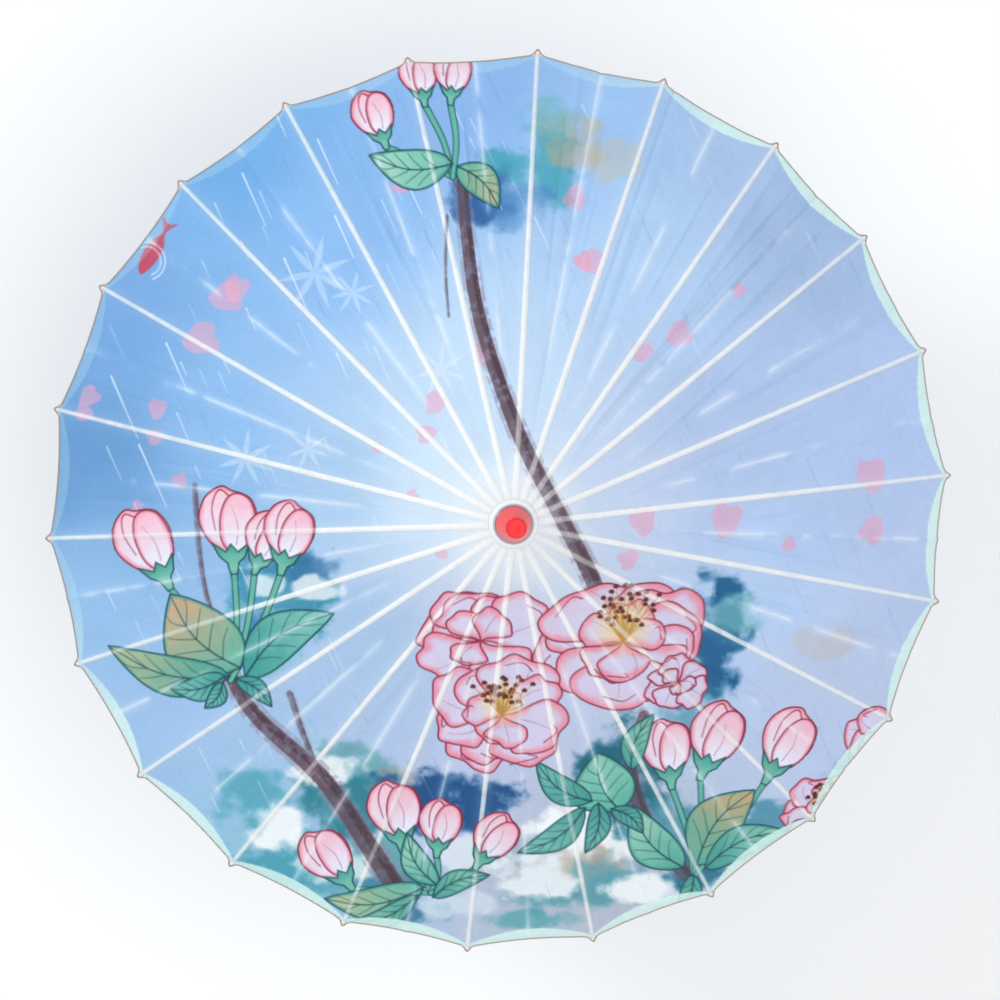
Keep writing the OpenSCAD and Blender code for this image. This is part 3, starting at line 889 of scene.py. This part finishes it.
def grained(name, steps, rough, stretch, pores_mm, bump, attribute=None, coat=0.0):
    """Wood or bamboo: long fibres drawn out along Z, or along the first axis of an attribute."""
    material, shader = new_material(name)
    place = own_place(material) if attribute is None else (
        add_node(material, "ShaderNodeAttribute", {"attribute_name": attribute}), "Vector")
    along = stretched(material, place, stretch)
    fibre = noise(material, along, pores_mm, 5.0, Roughness=0.6)
    patch = noise(material, along, pores_mm / 0.12, 2.0)
    both = add_node(material, "ShaderNodeMath", {"operation": "MULTIPLY_ADD"}, {1: 0.45},
                    {0: (patch, "Fac"), 2: (fibre, "Fac")})
    level = add_node(material, "ShaderNodeMath", {"operation": "SUBTRACT"}, {1: 0.225},
                     {0: (both, "Value")})
    coloured(material, shader, (level, "Value"), steps)
    embossed(material, shader, (fibre, "Fac"), bump, 0.2)
    set_sockets(shader, Roughness=rough, Coat_Weight=coat, Coat_Roughness=0.12)
    return material


print("helpers ready")

# %% [markdown]
# ## Finishes for the frame
# Ribs and stretchers are split moso bamboo, shaved and left bare: long pale fibres about half a
# millimetre apart, hardly any shine. Hub and runner are turned from a pale close-grained wood.
# The shaft is a darker varnished bamboo, the grip a reddish wood under lacquer.

# %% Bamboo and wood
finishes = {
    "rib_bamboo": grained("split moso bamboo, shaved", [(0.32, "#c9a566"), (0.5, "#dfc48e"), (0.68, "#ecdab2")],
                          0.62, (0.03, 1.0, 1.0), 0.55, 0.35, "fibre"),
    "head_wood": grained("turned wax-finished beech", [(0.32, "#b98c56"), (0.5, "#cfa872"), (0.68, "#dcbc8c")],
                         0.5, (1.0, 1.0, 0.12), 0.8, 0.3),
    "shaft_bamboo": grained("varnished bamboo culm", [(0.32, "#a87436"), (0.5, "#c29152"), (0.68, "#d3a96d")],
                            0.32, (1.0, 1.0, 0.03), 0.7, 0.2, coat=0.4),
    "grip_wood": grained("lacquered rosewood", [(0.3, "#4a2113"), (0.5, "#6e3720"), (0.7, "#8a4c2c")],
                         0.35, (1.0, 1.0, 0.07), 1.0, 0.25, coat=0.6),
    "cap_wood": grained("dark lacquered end plug", [(0.3, "#2e170d"), (0.5, "#46261a"), (0.7, "#583224")],
                        0.35, (1.0, 0.1, 1.0), 0.9, 0.25, coat=0.6),
    "peg_bamboo": grained("whittled bamboo peg", [(0.3, "#a67a3e"), (0.5, "#bd9458"), (0.7, "#cfae78")],
                          0.6, (1.0, 0.06, 1.0), 0.5, 0.35),
}
print("wood finishes:", len(finishes))

# %% [markdown]
# Steel is drawn wire for the rings and pins and cold-rolled strip for the catch. The drawing and
# rolling leave fine lines along the metal, which spread the highlight, so roughness and a little
# bump carry them. The cap is moulded ABS: even, saturated and glossy, with a trace of the
# mould's texture. The neck band is a frosted film: milky, slightly clear, with creases. Its
# colour is painted shadow of the cap: a dark line and a grey ring round the cap's foot, white
# beyond, and a little greyer again at the band's foot.

# %% Metal, plastic and film


def brushed(name, code, rough, line_mm, stretch):
    """Steel with fine lines that run along the axis that stretch shortens."""
    material, shader = new_material(name)
    lines = noise(material, stretched(material, own_place(material), stretch), line_mm, 4.0)
    spread = add_node(material, "ShaderNodeMapRange", inputs={"To Min": rough - 0.08, "To Max": rough + 0.12},
                      links={"Value": (lines, "Fac")})
    dark = "#%02x%02x%02x" % tuple(int(int(code[i:i + 2], 16) * 0.82) for i in (1, 3, 5))
    coloured(material, shader, (lines, "Fac"), [(0.3, dark), (0.7, code)])
    join(material, spread, "Result", shader, "Roughness")
    embossed(material, shader, (lines, "Fac"), 0.15, 0.05)
    set_sockets(shader, Metallic=1.0)
    return material


def moulded(name, code, mottled_code, rough, grain_mm, bump, coat):
    """Plastic with the faint texture of its mould. Returns its shader too."""
    material, shader = new_material(name)
    place = own_place(material)
    grain = noise(material, place, grain_mm, 3.0)
    cloudy = noise(material, place, 9, 2.0)
    coloured(material, shader, (cloudy, "Fac"), [(0.35, mottled_code), (0.65, code)])
    embossed(material, shader, (grain, "Fac"), bump, 0.1)
    set_sockets(shader, Roughness=rough, Coat_Weight=coat, Coat_Roughness=0.05, Specular_IOR_Level=0.35)
    return material, shader


finishes["ring_wire"] = brushed("drawn galvanised wire", "#b8bab8", 0.38, 0.3, (1.0, 1.0, 0.2))
finishes["catch_steel"] = brushed("cold-rolled spring steel", "#a6a8a6", 0.32, 0.25, (1.0, 1.0, 0.04))
finishes["cap_plastic"], _ = moulded("moulded red ABS", "#f20d1a", "#e80815", 0.28, 1.5, 0.03, 0.12)
film, film_shader = moulded("frosted PVC film", "#eceeee", "#d9dde0", 0.30, 2.2, 0.6, 0.2)
finishes["band_film"] = film
set_sockets(film_shader, Alpha=0.9)
flat_place = add_node(film, "ShaderNodeVectorMath", {"operation": "MULTIPLY"}, {1: (1.0, 1.0, 0.0)},
                      {0: own_place(film)})
from_axis = add_node(film, "ShaderNodeVectorMath", {"operation": "LENGTH"}, links={0: (flat_place, "Vector")})
# Colour by distance from the axis: the dark line and grey ring next to the cap are painted shadow of the cap;
# white beyond, a little greyer at the band's foot.
cap_shadow_rings = add_node(film, "ShaderNodeMapRange", inputs={"From Min": 14 * MM, "From Max": 22 * MM},
                 links={"Value": (from_axis, "Value")})
coloured(film, film_shader, (cap_shadow_rings, "Result"), [(0.19, "#5a2634"), (0.23, "#a29cad"), (0.42, "#c6c6d2"),
                                                (0.50, "#f6f8fa"), (0.86, "#eef2f5"), (0.97, "#c6cdd8")])
print("finishes:", sorted(finishes))

# %% [markdown]
# ## Thread and cord
# The tips are bound with many turns of white rayon, and the edge is a thin cotton cord. In both
# the eye sees the slanted lines of the twist, so a wave pattern with the thread's own spacing
# gives the colour and the bump; the darker colour in its troughs is painted shade in the grooves.

# %% Thread finishes


WAVE_SCALE = 0.314  # a wave texture of this scale repeats once in a unit


def twisted(name, code, groove_shade_code, spacing_mm, sheen):
    """Thread or cord, striped across its twist: the darker stripes are painted shade in its grooves."""
    material, shader = new_material(name)
    twist = add_node(material, "ShaderNodeTexWave", {"bands_direction": "DIAGONAL"},
                     {"Scale": WAVE_SCALE / (spacing_mm * MM), "Distortion": 1.5, "Detail": 2.0,
                      "Detail Scale": 3.0}, {"Vector": own_place(material)})
    # The darker colour in the wave's troughs is painted shade in the grooves between the turns.
    coloured(material, shader, (twist, "Fac"), [(0.15, groove_shade_code), (0.6, code)])
    embossed(material, shader, (twist, "Fac"), 0.5, 0.15)
    set_sockets(shader, Roughness=0.6, Sheen_Weight=sheen)
    return material


rayon = twisted("white rayon binding thread", "#f6efec", "#d9c7c6", 0.5, 0.3)
finishes["rim_thread"] = twisted("twisted cotton edge cord", "#b8aaa0", "#8d7d74", 0.9, 0.15)
print("threads ready")

# %% [markdown]
# ## The frame's hard pieces
# The CAD already has these shapes right. A copy of each mesh is merged, because its triangles are
# loose, its sharp edges get a small bevel that catches the light, and it takes the finish of its
# CAD material. Ribs and stretchers lie in twenty-two directions, so each copy also keeps its
# points' places along and across the bar, which the bamboo's fibres follow.

# %% Carry the hard pieces over
BAR_BEVEL = 0.25 * MM
SAME_POINT = 0.004 * MM


def only(obj):
    """Makes one object the selected, active one."""
    bpy.ops.object.select_all(action="DESELECT")
    obj.select_set(True)
    bpy.context.view_layer.objects.active = obj


def bevelled(obj, width):
    """Rounds the sharp edges for good."""
    only(obj)
    cut = obj.modifiers.new("edge", "BEVEL")
    cut.width, cut.segments = width, 2
    cut.limit_method, cut.angle_limit = "ANGLE", math.radians(35)
    cut.harden_normals = False
    bpy.ops.object.modifier_apply(modifier="edge")
    bpy.ops.object.shade_smooth_by_angle(angle=math.radians(40))


def added(name, mesh):
    """A new object for a mesh, put in the scene."""
    obj = bpy.data.objects.new(name, mesh)
    bpy.context.collection.objects.link(obj)
    return obj


def turned_outward(obj):
    """Makes a new mesh's faces all look outward."""
    only(obj)
    bpy.ops.object.mode_set(mode="EDIT")
    bpy.ops.mesh.select_all(action="SELECT")
    bpy.ops.mesh.normals_make_consistent(inside=False)
    bpy.ops.object.mode_set(mode="OBJECT")


def carried(node, width):
    """A merged, bevelled copy of a CAD node that stands for it."""
    cad = frame["nodes"][node]
    piece = added(node + "_finished", cad.data.copy())
    piece.data.transform(cad.matrix_world)
    only(piece)
    bpy.ops.object.mode_set(mode="EDIT")
    bpy.ops.mesh.select_all(action="SELECT")
    bpy.ops.mesh.remove_doubles(threshold=SAME_POINT)
    bpy.ops.mesh.tris_convert_to_quads(face_threshold=math.radians(3), shape_threshold=math.radians(179))
    bpy.ops.object.mode_set(mode="OBJECT")
    if width:
        bevelled(piece, width)
    slot = cad.data.materials[0].name.split(".")[0]
    piece.data.materials.clear()
    piece.data.materials.append(finishes[slot])
    return piece, slot


def stood_in(piece, body, slot, *nodes):
    """Rides on a body and stands for CAD nodes. slot is not used."""
    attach(piece, body)
    if nodes:
        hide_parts(*nodes)


GRAIN_START = 1.11  # metres: keeps every bar's places away from the noise's own zero


def along_bar(piece, centre, out, side, up):
    """Keeps each point's place along and across a bar, in metres, for the fibres to follow."""
    places = np.empty(len(piece.data.vertices) * 3)
    piece.data.vertices.foreach_get("co", places)
    places = places.reshape(-1, 3) - centre
    own_places = np.stack([places @ out, places @ side, places @ up], axis=1) + GRAIN_START
    layer = piece.data.attributes.new("fibre", "FLOAT_VECTOR", "POINT")
    layer.data.foreach_set("vector", own_places.ravel().astype(np.float32))


BODY_OF = {node: "grip_and_shaft" for node in ("shaft", "grip", "grip_end_cap", "hub", "hub_pin", "hub_wire",
                                               "stop_pin", "catch_pin", "top_cap")}
BODY_OF.update({"runner": "runner", "runner_wire": "runner", "catch_spring": "catch_spring"})
BEVELS_MM = {"grip": 0.8, "grip_end_cap": 0.5, "hub": 0.3, "runner": 0.3, "top_cap": 0.7, "shaft": 0.3,
             "catch_spring": 0.2}
for node, body in BODY_OF.items():
    piece, slot = carried(node, BEVELS_MM.get(node, 0) * MM)
    stood_in(piece, body, slot, node)
print("carried over:", len(BODY_OF))

# %% Ribs and stretchers
PIN_DROP = 2 * MM
PIN_AT = 190 * MM
PIN_R = 0.61 * MM
EYE_UP = 2.5 * MM
for index in range(RIBS):
    radial, out, side, up = rib_axes(index)
    rib_name, stretcher_name = "rib_%02d" % (index + 1), "stretcher_%02d" % (index + 1)
    rib, slot = carried(rib_name, BAR_BEVEL)
    pivot = radial * PIVOT_R + np.array([0, 0, HUB_Z])
    along_bar(rib, pivot, out, side, up)
    stood_in(rib, rib_name, slot, rib_name)
    stretcher, slot = carried(stretcher_name, BAR_BEVEL)
    pin = pivot + out * PIN_AT - up * PIN_DROP
    eye = radial * PIVOT_R + np.array([0, 0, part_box(stretcher_name)[0].z + EYE_UP])
    run = (eye - pin) / np.linalg.norm(eye - pin)
    along_bar(stretcher, pin, run, side, np.cross(run, side))
    stretcher.data.materials.append(finishes["ring_wire"])
    for face in stretcher.data.polygons:
        from_pin = np.array(face.center) - pin
        sideways = from_pin @ side
        on_pin = np.linalg.norm(from_pin - side * sideways) < PIN_R and abs(sideways) > 0.5 * MM
        face.material_index = 1 if on_pin else 0
    stood_in(stretcher, stretcher_name, slot, stretcher_name)
print("ribs and stretchers:", 2 * RIBS)

# %% [markdown]
# ## The bound tips
# Past the cloth each rib ends in a small knob of white thread. It is a barrel with a shallow
# groove between the turns. One is modelled as a primitive cylinder cut into rings whose every
# second loop is drawn in, and then each rib gets its own copy, turned into place.

# %% Thread knobs
KNOB_R = 3.3 * MM
KNOB_LEN = 5.0 * MM
TURNS = 9
bpy.ops.object.select_all(action="DESELECT")
bpy.ops.mesh.primitive_cylinder_add(vertices=20, radius=KNOB_R, depth=KNOB_LEN, end_fill_type="NGON")
master = bpy.context.object
bpy.ops.object.mode_set(mode="EDIT")
for i in range(1, 2 * TURNS):
    height = -KNOB_LEN / 2 + KNOB_LEN * i / (2 * TURNS)
    bpy.ops.mesh.select_all(action="SELECT")
    bpy.ops.mesh.bisect(plane_co=(0, 0, height), plane_no=(0, 0, 1))
bpy.ops.object.mode_set(mode="OBJECT")
for vertex in master.data.vertices:
    share = (vertex.co.z + KNOB_LEN / 2) / KNOB_LEN
    barrel = 0.62 + 0.38 * math.sin(math.pi * min(max(share, 0.0), 1.0)) ** 0.6
    groove = 0.055 if round(share * 2 * TURNS) % 2 == 0 else 0.0
    vertex.co.x *= barrel - groove
    vertex.co.y *= barrel - groove
only(master)
bpy.ops.object.shade_smooth_by_angle(angle=math.radians(60))
print("knob points:", len(master.data.vertices))

# %% One knob on each rib
for index in range(RIBS):
    _, out, side, up = rib_axes(index)
    number = "%02d" % (index + 1)
    knob = added("tip_binding_" + number, master.data.copy())
    middle = on_rib(index, np.array([RIB_LEN - 2.2 * MM]), RIB_TOP - 1.2 * MM)[0]
    turned = Matrix(((up[0], side[0], out[0], middle[0]), (up[1], side[1], out[1], middle[1]),
                     (up[2], side[2], out[2], middle[2]), (0, 0, 0, 1)))
    knob.data.transform(turned)
    if turned.to_3x3().determinant() < 0:
        knob.data.flip_normals()
    knob.data.materials.clear()
    knob.data.materials.append(rayon)
    stood_in(knob, "rib_" + number, "rim_thread")
bpy.data.objects.remove(master)
print("knobs:", RIBS)

# %% [markdown]
# ## The cloth's own finish
# The cloth is a fine plain weave of polyester, waterproofed, with the print on top. The dye is
# the colour kept on the points. The weave is two crossed sets of ribs in the bump. Real threads
# here are a quarter of a millimetre apart, too fine to see, so they are drawn four times as
# coarse. Some of the light goes through, as in any parasol, so the shader is mixed with a
# translucent one of the same colour.

# %% Cloth material
cloth, shader = new_material("printed waterproof pongee")
dye = add_node(cloth, "ShaderNodeVertexColor", {"layer_name": "print"})
place = own_place(cloth)
THREAD_MM = 1.0
warp, weft = (add_node(cloth, "ShaderNodeTexWave", {"bands_direction": axis},
                       {"Scale": WAVE_SCALE / (THREAD_MM * MM)}, {"Vector": place}) for axis in "XY")
weave = add_node(cloth, "ShaderNodeMath", {"operation": "ADD"}, links={0: (warp, "Fac"), 1: (weft, "Fac")})
slub = noise(cloth, place, 3, 4.0)
uneven = add_node(cloth, "ShaderNodeMapRange", inputs={"To Min": 0.92, "To Max": 1.06},
                  links={"Value": (slub, "Fac")})
woven = add_node(cloth, "ShaderNodeVectorMath", {"operation": "SCALE"},
                 links={0: (dye, "Color"), "Scale": (uneven, "Result")})
join(cloth, woven, "Vector", shader, "Base Color")
embossed(cloth, shader, (weave, "Value"), 0.12, 0.1)
set_sockets(shader, Roughness=0.52, Sheen_Weight=0.25, Sheen_Roughness=0.4, Specular_IOR_Level=0.35)
through = add_node(cloth, "ShaderNodeBsdfTranslucent", links={"Color": (woven, "Vector")})
blend = add_node(cloth, "ShaderNodeMixShader", inputs={"Fac": 0.22},
                 links={1: (shader, "BSDF"), 2: (through, "BSDF")})
join(cloth, blend, "Shader", cloth.node_tree.nodes["Material Output"], "Surface")
print("cloth finish ready")

# %% [markdown]
# ## Sew the half gores
# Each grid of points becomes a mesh with its dye and a flat layout for the print, and rides on its
# rib. The length of each along its rib is worked out but not used.

# %% Cloth pieces


def sheet_mesh(name, points, colours):
    """A grid of points as a smooth mesh, with the dye and a flat layout that fills the square."""
    rows, columns = points.shape[:2]
    v, u = np.meshgrid(np.linspace(0.01, 0.99, rows), np.linspace(0.01, 0.99, columns), indexing="ij")
    layout = np.stack([u, v], axis=-1).reshape(-1, 2)
    number = np.arange(rows * columns).reshape(rows, columns)
    quads = np.stack([number[:-1, :-1], number[1:, :-1], number[1:, 1:], number[:-1, 1:]], axis=-1)
    quads = quads.reshape(-1, 4)
    flat = points.reshape(-1, 3)
    a, b, c = flat[quads[0][0]], flat[quads[0][1]], flat[quads[0][2]]
    if np.cross(b - a, c - a)[2] < 0:
        quads = quads[:, ::-1]
    mesh = bpy.data.meshes.new(name)
    mesh.from_pydata(flat.tolist(), [], quads.tolist())
    mesh.polygons.foreach_set("use_smooth", np.ones(len(quads), bool))
    dyed = mesh.color_attributes.new("print", "FLOAT_COLOR", "POINT")
    rgba = np.column_stack([linear(colours), np.ones(len(colours))])
    dyed.data.foreach_set("color", rgba.ravel().astype(np.float32))
    spread = mesh.uv_layers.new(name="OFBake")
    spread.data.foreach_set("uv", layout[quads.ravel()].ravel().astype(np.float32))
    mesh.materials.append(cloth)
    mesh.update()
    return added(name, mesh)


ANCHOR_AT = 200 * MM


def pleated(piece, half_gore):
    """Gives the piece a mesh of its own; the anchor on the half gore's rib is worked out but not used."""
    _, _, side, up = rib_axes(half_gore["rib"])
    anchor = on_rib(half_gore["rib"], np.array([ANCHOR_AT]), CLOTH_OFF)[0]
    tuple(anchor)
    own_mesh(piece)


start = 0
for i, h in enumerate(half_gores):
    points = h["points"]
    count = h["u"].size
    obj = sheet_mesh("cloth_gore_" + h["label"], points, paint[start:start + count])
    start += count
    stood_in(obj, "rib_%02d" % (h["rib"] + 1), "oiled_cloth", *(["canopy"] if i == 0 else []))
    long = float(np.linalg.norm(points[-1, 0] - points[0, 0]))
    pleated(obj, h)
print("cloth pieces:", len(half_gores))

# %% [markdown]
# ## The crown and the edge cord
# Round the neck the cloth lies pleated flat under the band. This small ring doesn't fold, so it
# stays on the hub. The cord runs along the edge in half-gore lengths that ride on the same ribs
# as the cloth they are sewn to.

# %% Crown
CROWN_IN = 12.7 * MM
CROWN_OUT = PIVOT_R + (CROWN_END + 0.8 * MM) * math.cos(SLOPE) + CLOTH_OFF * math.sin(SLOPE)
CROWN_STEPS = 7
turns = np.linspace(0, 2 * math.pi, RIBS * 8 + 1)
pull = np.cos(math.pi / RIBS) / np.cos(np.mod(turns, PITCH) - PITCH / 2)
crown_points = np.zeros((CROWN_STEPS, len(turns), 3))
for i, r in enumerate(np.linspace(CROWN_IN, CROWN_OUT, CROWN_STEPS)):
    height = HUB_Z + CLOTH_OFF / math.cos(SLOPE) - (r - PIVOT_R) * math.tan(SLOPE) - 0.25 * MM
    ring = r * pull
    crown_points[i] = np.column_stack([ring * np.cos(turns), ring * np.sin(turns), np.full(len(turns), height)])
crown = sheet_mesh("cloth_crown", crown_points, np.tile(srgb("#eaf3fa"), (CROWN_STEPS * len(turns), 1)))
stood_in(crown, "grip_and_shaft", "oiled_cloth")
print("crown across:", round(2 * CROWN_OUT, 4))

# %% Edge cord
CORD_R = 0.65 * MM
CORD_SIDES = 8


def tube_mesh(name, route, radius, sides):
    """A closed round tube along a route of points."""
    n = len(route)
    ahead = np.gradient(route, axis=0)
    ahead /= np.linalg.norm(ahead, axis=1)[:, None]
    outward = route * [1, 1, 0]
    outward /= np.linalg.norm(outward, axis=1)[:, None]
    across = np.cross(ahead, outward)
    across /= np.linalg.norm(across, axis=1)[:, None]
    lift = np.cross(across, ahead)
    points, faces = [], []
    for i in range(n):
        for j in range(sides):
            a = 2 * math.pi * j / sides
            points.append(tuple(route[i] + radius * (math.cos(a) * lift[i] + math.sin(a) * across[i])))
    for i in range(n - 1):
        for j in range(sides):
            k = (j + 1) % sides
            faces.append((i * sides + j, i * sides + k, (i + 1) * sides + k, (i + 1) * sides + j))
    faces.append(tuple(range(sides))[::-1])
    faces.append(tuple((n - 1) * sides + j for j in range(sides)))
    mesh = bpy.data.meshes.new(name)
    mesh.from_pydata(points, [], faces)
    mesh.polygons.foreach_set("use_smooth", np.ones(len(faces), bool))
    obj = added(name, mesh)
    turned_outward(obj)
    return obj


edges = [h for h in half_gores if h["length"]["end"] is None]
for h in edges:
    rim = h["points"][-1]
    side = rib_axes(h["rib"])[2]
    outward = rim * [1, 1, 0]
    outward /= np.linalg.norm(outward, axis=1)[:, None]
    from_rib = np.abs((rim - rim[0]) @ side) / MM
    round_tip = np.exp(-((from_rib / 3.2) ** 2))[:, None]
    raised = np.array([0, 0, 1.0]) * (0.1 - 0.9 * round_tip) * MM
    route = rim + outward * (0.45 + 4.0 * round_tip) * MM + raised
    kept = np.unique(np.r_[0:9, 9:len(route):3, len(route) - 1])
    cord = tube_mesh("edge_cord_" + h["label"], route[kept], CORD_R, CORD_SIDES)
    cord.data.materials.append(finishes["rim_thread"])
    stood_in(cord, "rib_%02d" % (h["rib"] + 1), "rim_thread", *(["rim_cord"] if h is edges[0] else []))
    pleated(cord, h)
print("cord lengths:", len(edges))

# %% [markdown]
# ## The wrapped neck band
# A strip of frosted film is wrapped round the neck, from the cloth up to the cap, and its end
# overlaps its start. The strip follows the band's profile while its radius grows a little over
# the turn, so the overlap lies on the outside and shows as a seam.

# %% Neck band
low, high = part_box("neck_band")
band_r, band_low, band_high = high.x, low.z, high.z
OVERLAP = math.radians(26)
SEAM_AT = math.radians(38)
BAND_STEPS = 150
FILM = 0.25 * MM
profile = [(band_r - 0.5 * MM, band_low), (band_r - 0.25 * MM, band_low + 0.7 * MM),
           (band_r - 1.6 * MM, band_low + 1.9 * MM), (band_r - 4.3 * MM, band_high - 2.6 * MM),
           (band_r - 5.3 * MM, band_high - 1.7 * MM), (band_r - 7.2 * MM, band_high - 0.35 * MM),
           (band_r - 8.6 * MM, band_high - 0.1 * MM)]
band_points = np.zeros((len(profile), BAND_STEPS + 1, 3))
for j in range(BAND_STEPS + 1):
    a = SEAM_AT + (2 * math.pi + OVERLAP) * j / BAND_STEPS
    grow = float(0.35 * MM * ramp(np.array(j / BAND_STEPS), 0.75, 0.95) - 0.15 * MM)
    for i, (r, z) in enumerate(profile):
        ripple = 0.22 * MM * math.sin(a * 9 + i) * (0.3 + 0.7 * (i % 2))
        here = r - 0.1 * MM + grow * (1 if i < 5 else 0.3) + ripple
        band_points[i, j] = (here * math.cos(a), here * math.sin(a), z)
faces = []
for i in range(len(profile) - 1):
    for j in range(BAND_STEPS):
        q = i * (BAND_STEPS + 1) + j
        faces.append((q, q + 1, q + BAND_STEPS + 2, q + BAND_STEPS + 1))
mesh = bpy.data.meshes.new("neck_wrap")
mesh.from_pydata(band_points.reshape(-1, 3).tolist(), [], faces)
wrap = added("neck_wrap", mesh)
turned_outward(wrap)
wall = wrap.modifiers.new("wall", "SOLIDIFY")
wall.thickness, wall.offset = FILM, 0
bpy.ops.object.modifier_apply(modifier="wall")
bpy.ops.object.shade_smooth_by_angle(angle=math.radians(40))
mesh.materials.append(finishes["band_film"])
stood_in(wrap, "grip_and_shaft", "band_film", "neck_band")
band_wide = sum(math.dist(profile[i], profile[i + 1]) for i in range(len(profile) - 1))
print("band width:", round(band_wide, 4))

# %% [markdown]
# ## Floor, light and camera
# A pale floor under the grip, a very large soft light overhead and a bright even sky keep shadows
# faint, and a smaller, stronger light high at the blue side models the creases.

# %% Floor
low, high = cad_box
bpy.ops.object.select_all(action="DESELECT")
bpy.ops.mesh.primitive_plane_add(size=12, location=(0, 0, low[2] - 0.5 * MM))
floor = bpy.context.object
floor.name = "floor"
pale, shader = new_material("pale studio floor")
set_sockets(shader, Base_Color=hex_rgba("#fbfbfb"), Roughness=0.9)
floor.data.materials.append(pale)
print("floor height:", round(low[2], 4))

# %% Light


def soft_light(name, place, aim, size, power):
    """A square area light turned to its aim."""
    lamp = bpy.data.lights.new(name, "AREA")
    lamp.shape, lamp.size, lamp.energy = "SQUARE", size, power
    obj = added(name, lamp)
    obj.location = place
    obj.rotation_euler = (Vector(aim) - Vector(place)).to_track_quat("-Z", "Y").to_euler()


soft_light("key", place=(-3.0, 2.1, 2.6), aim=(0, 0, 0.35), size=1.2, power=66)
soft_light("overhead", place=(0.7, -0.5, 2.9), aim=(0, 0, 0.3), size=2.6, power=31)
sky = bpy.data.worlds.new("pale sky")
bpy.context.scene.world = sky
sky.use_nodes = True
set_sockets(sky.node_tree.nodes["Background"], Color=hex_rgba("#f7f9fb"), Strength=0.70)
bpy.context.scene.view_settings.view_transform = "Standard"
print("lights: 2")

# %% Camera
TILT = math.radians(6.3)
DISTANCE = 2.6
FRAME_WIDTH = 0.908
SENSOR_MM = 36
FRAMING = (-1.6 * MM, 5.8 * MM)
TOWARD = (-0.555, 0.832)


def from_picture(x, y):
    """Picture directions in the frame's own."""
    c, s = math.cos(-PICTURE_TURN), math.sin(-PICTURE_TURN)
    return x * c - y * s, x * s + y * c


rim_z = float(on_rib(0, np.array([RIB_LEN]), RIB_TOP)[0][2])
aim = Vector((*from_picture(*FRAMING), rim_z))
toward_x, toward_y = from_picture(*TOWARD)
eye = aim + DISTANCE * Vector((toward_x * math.sin(TILT), toward_y * math.sin(TILT), math.cos(TILT)))
camera = bpy.data.cameras.new("camera")
camera.sensor_width = SENSOR_MM
camera.lens = SENSOR_MM * DISTANCE / FRAME_WIDTH
back = (eye - aim).normalized()
right = Vector((*from_picture(0, 1), 0)).cross(back).normalized()
head = back.cross(right)
camera_obj = added("camera", camera)
camera_obj.matrix_world = Matrix(((right.x, head.x, back.x, eye.x), (right.y, head.y, back.y, eye.y),
                                  (right.z, head.z, back.z, eye.z), (0, 0, 0, 1)))
bpy.context.scene.camera = camera_obj
print("camera at", [round(v, 3) for v in eye])
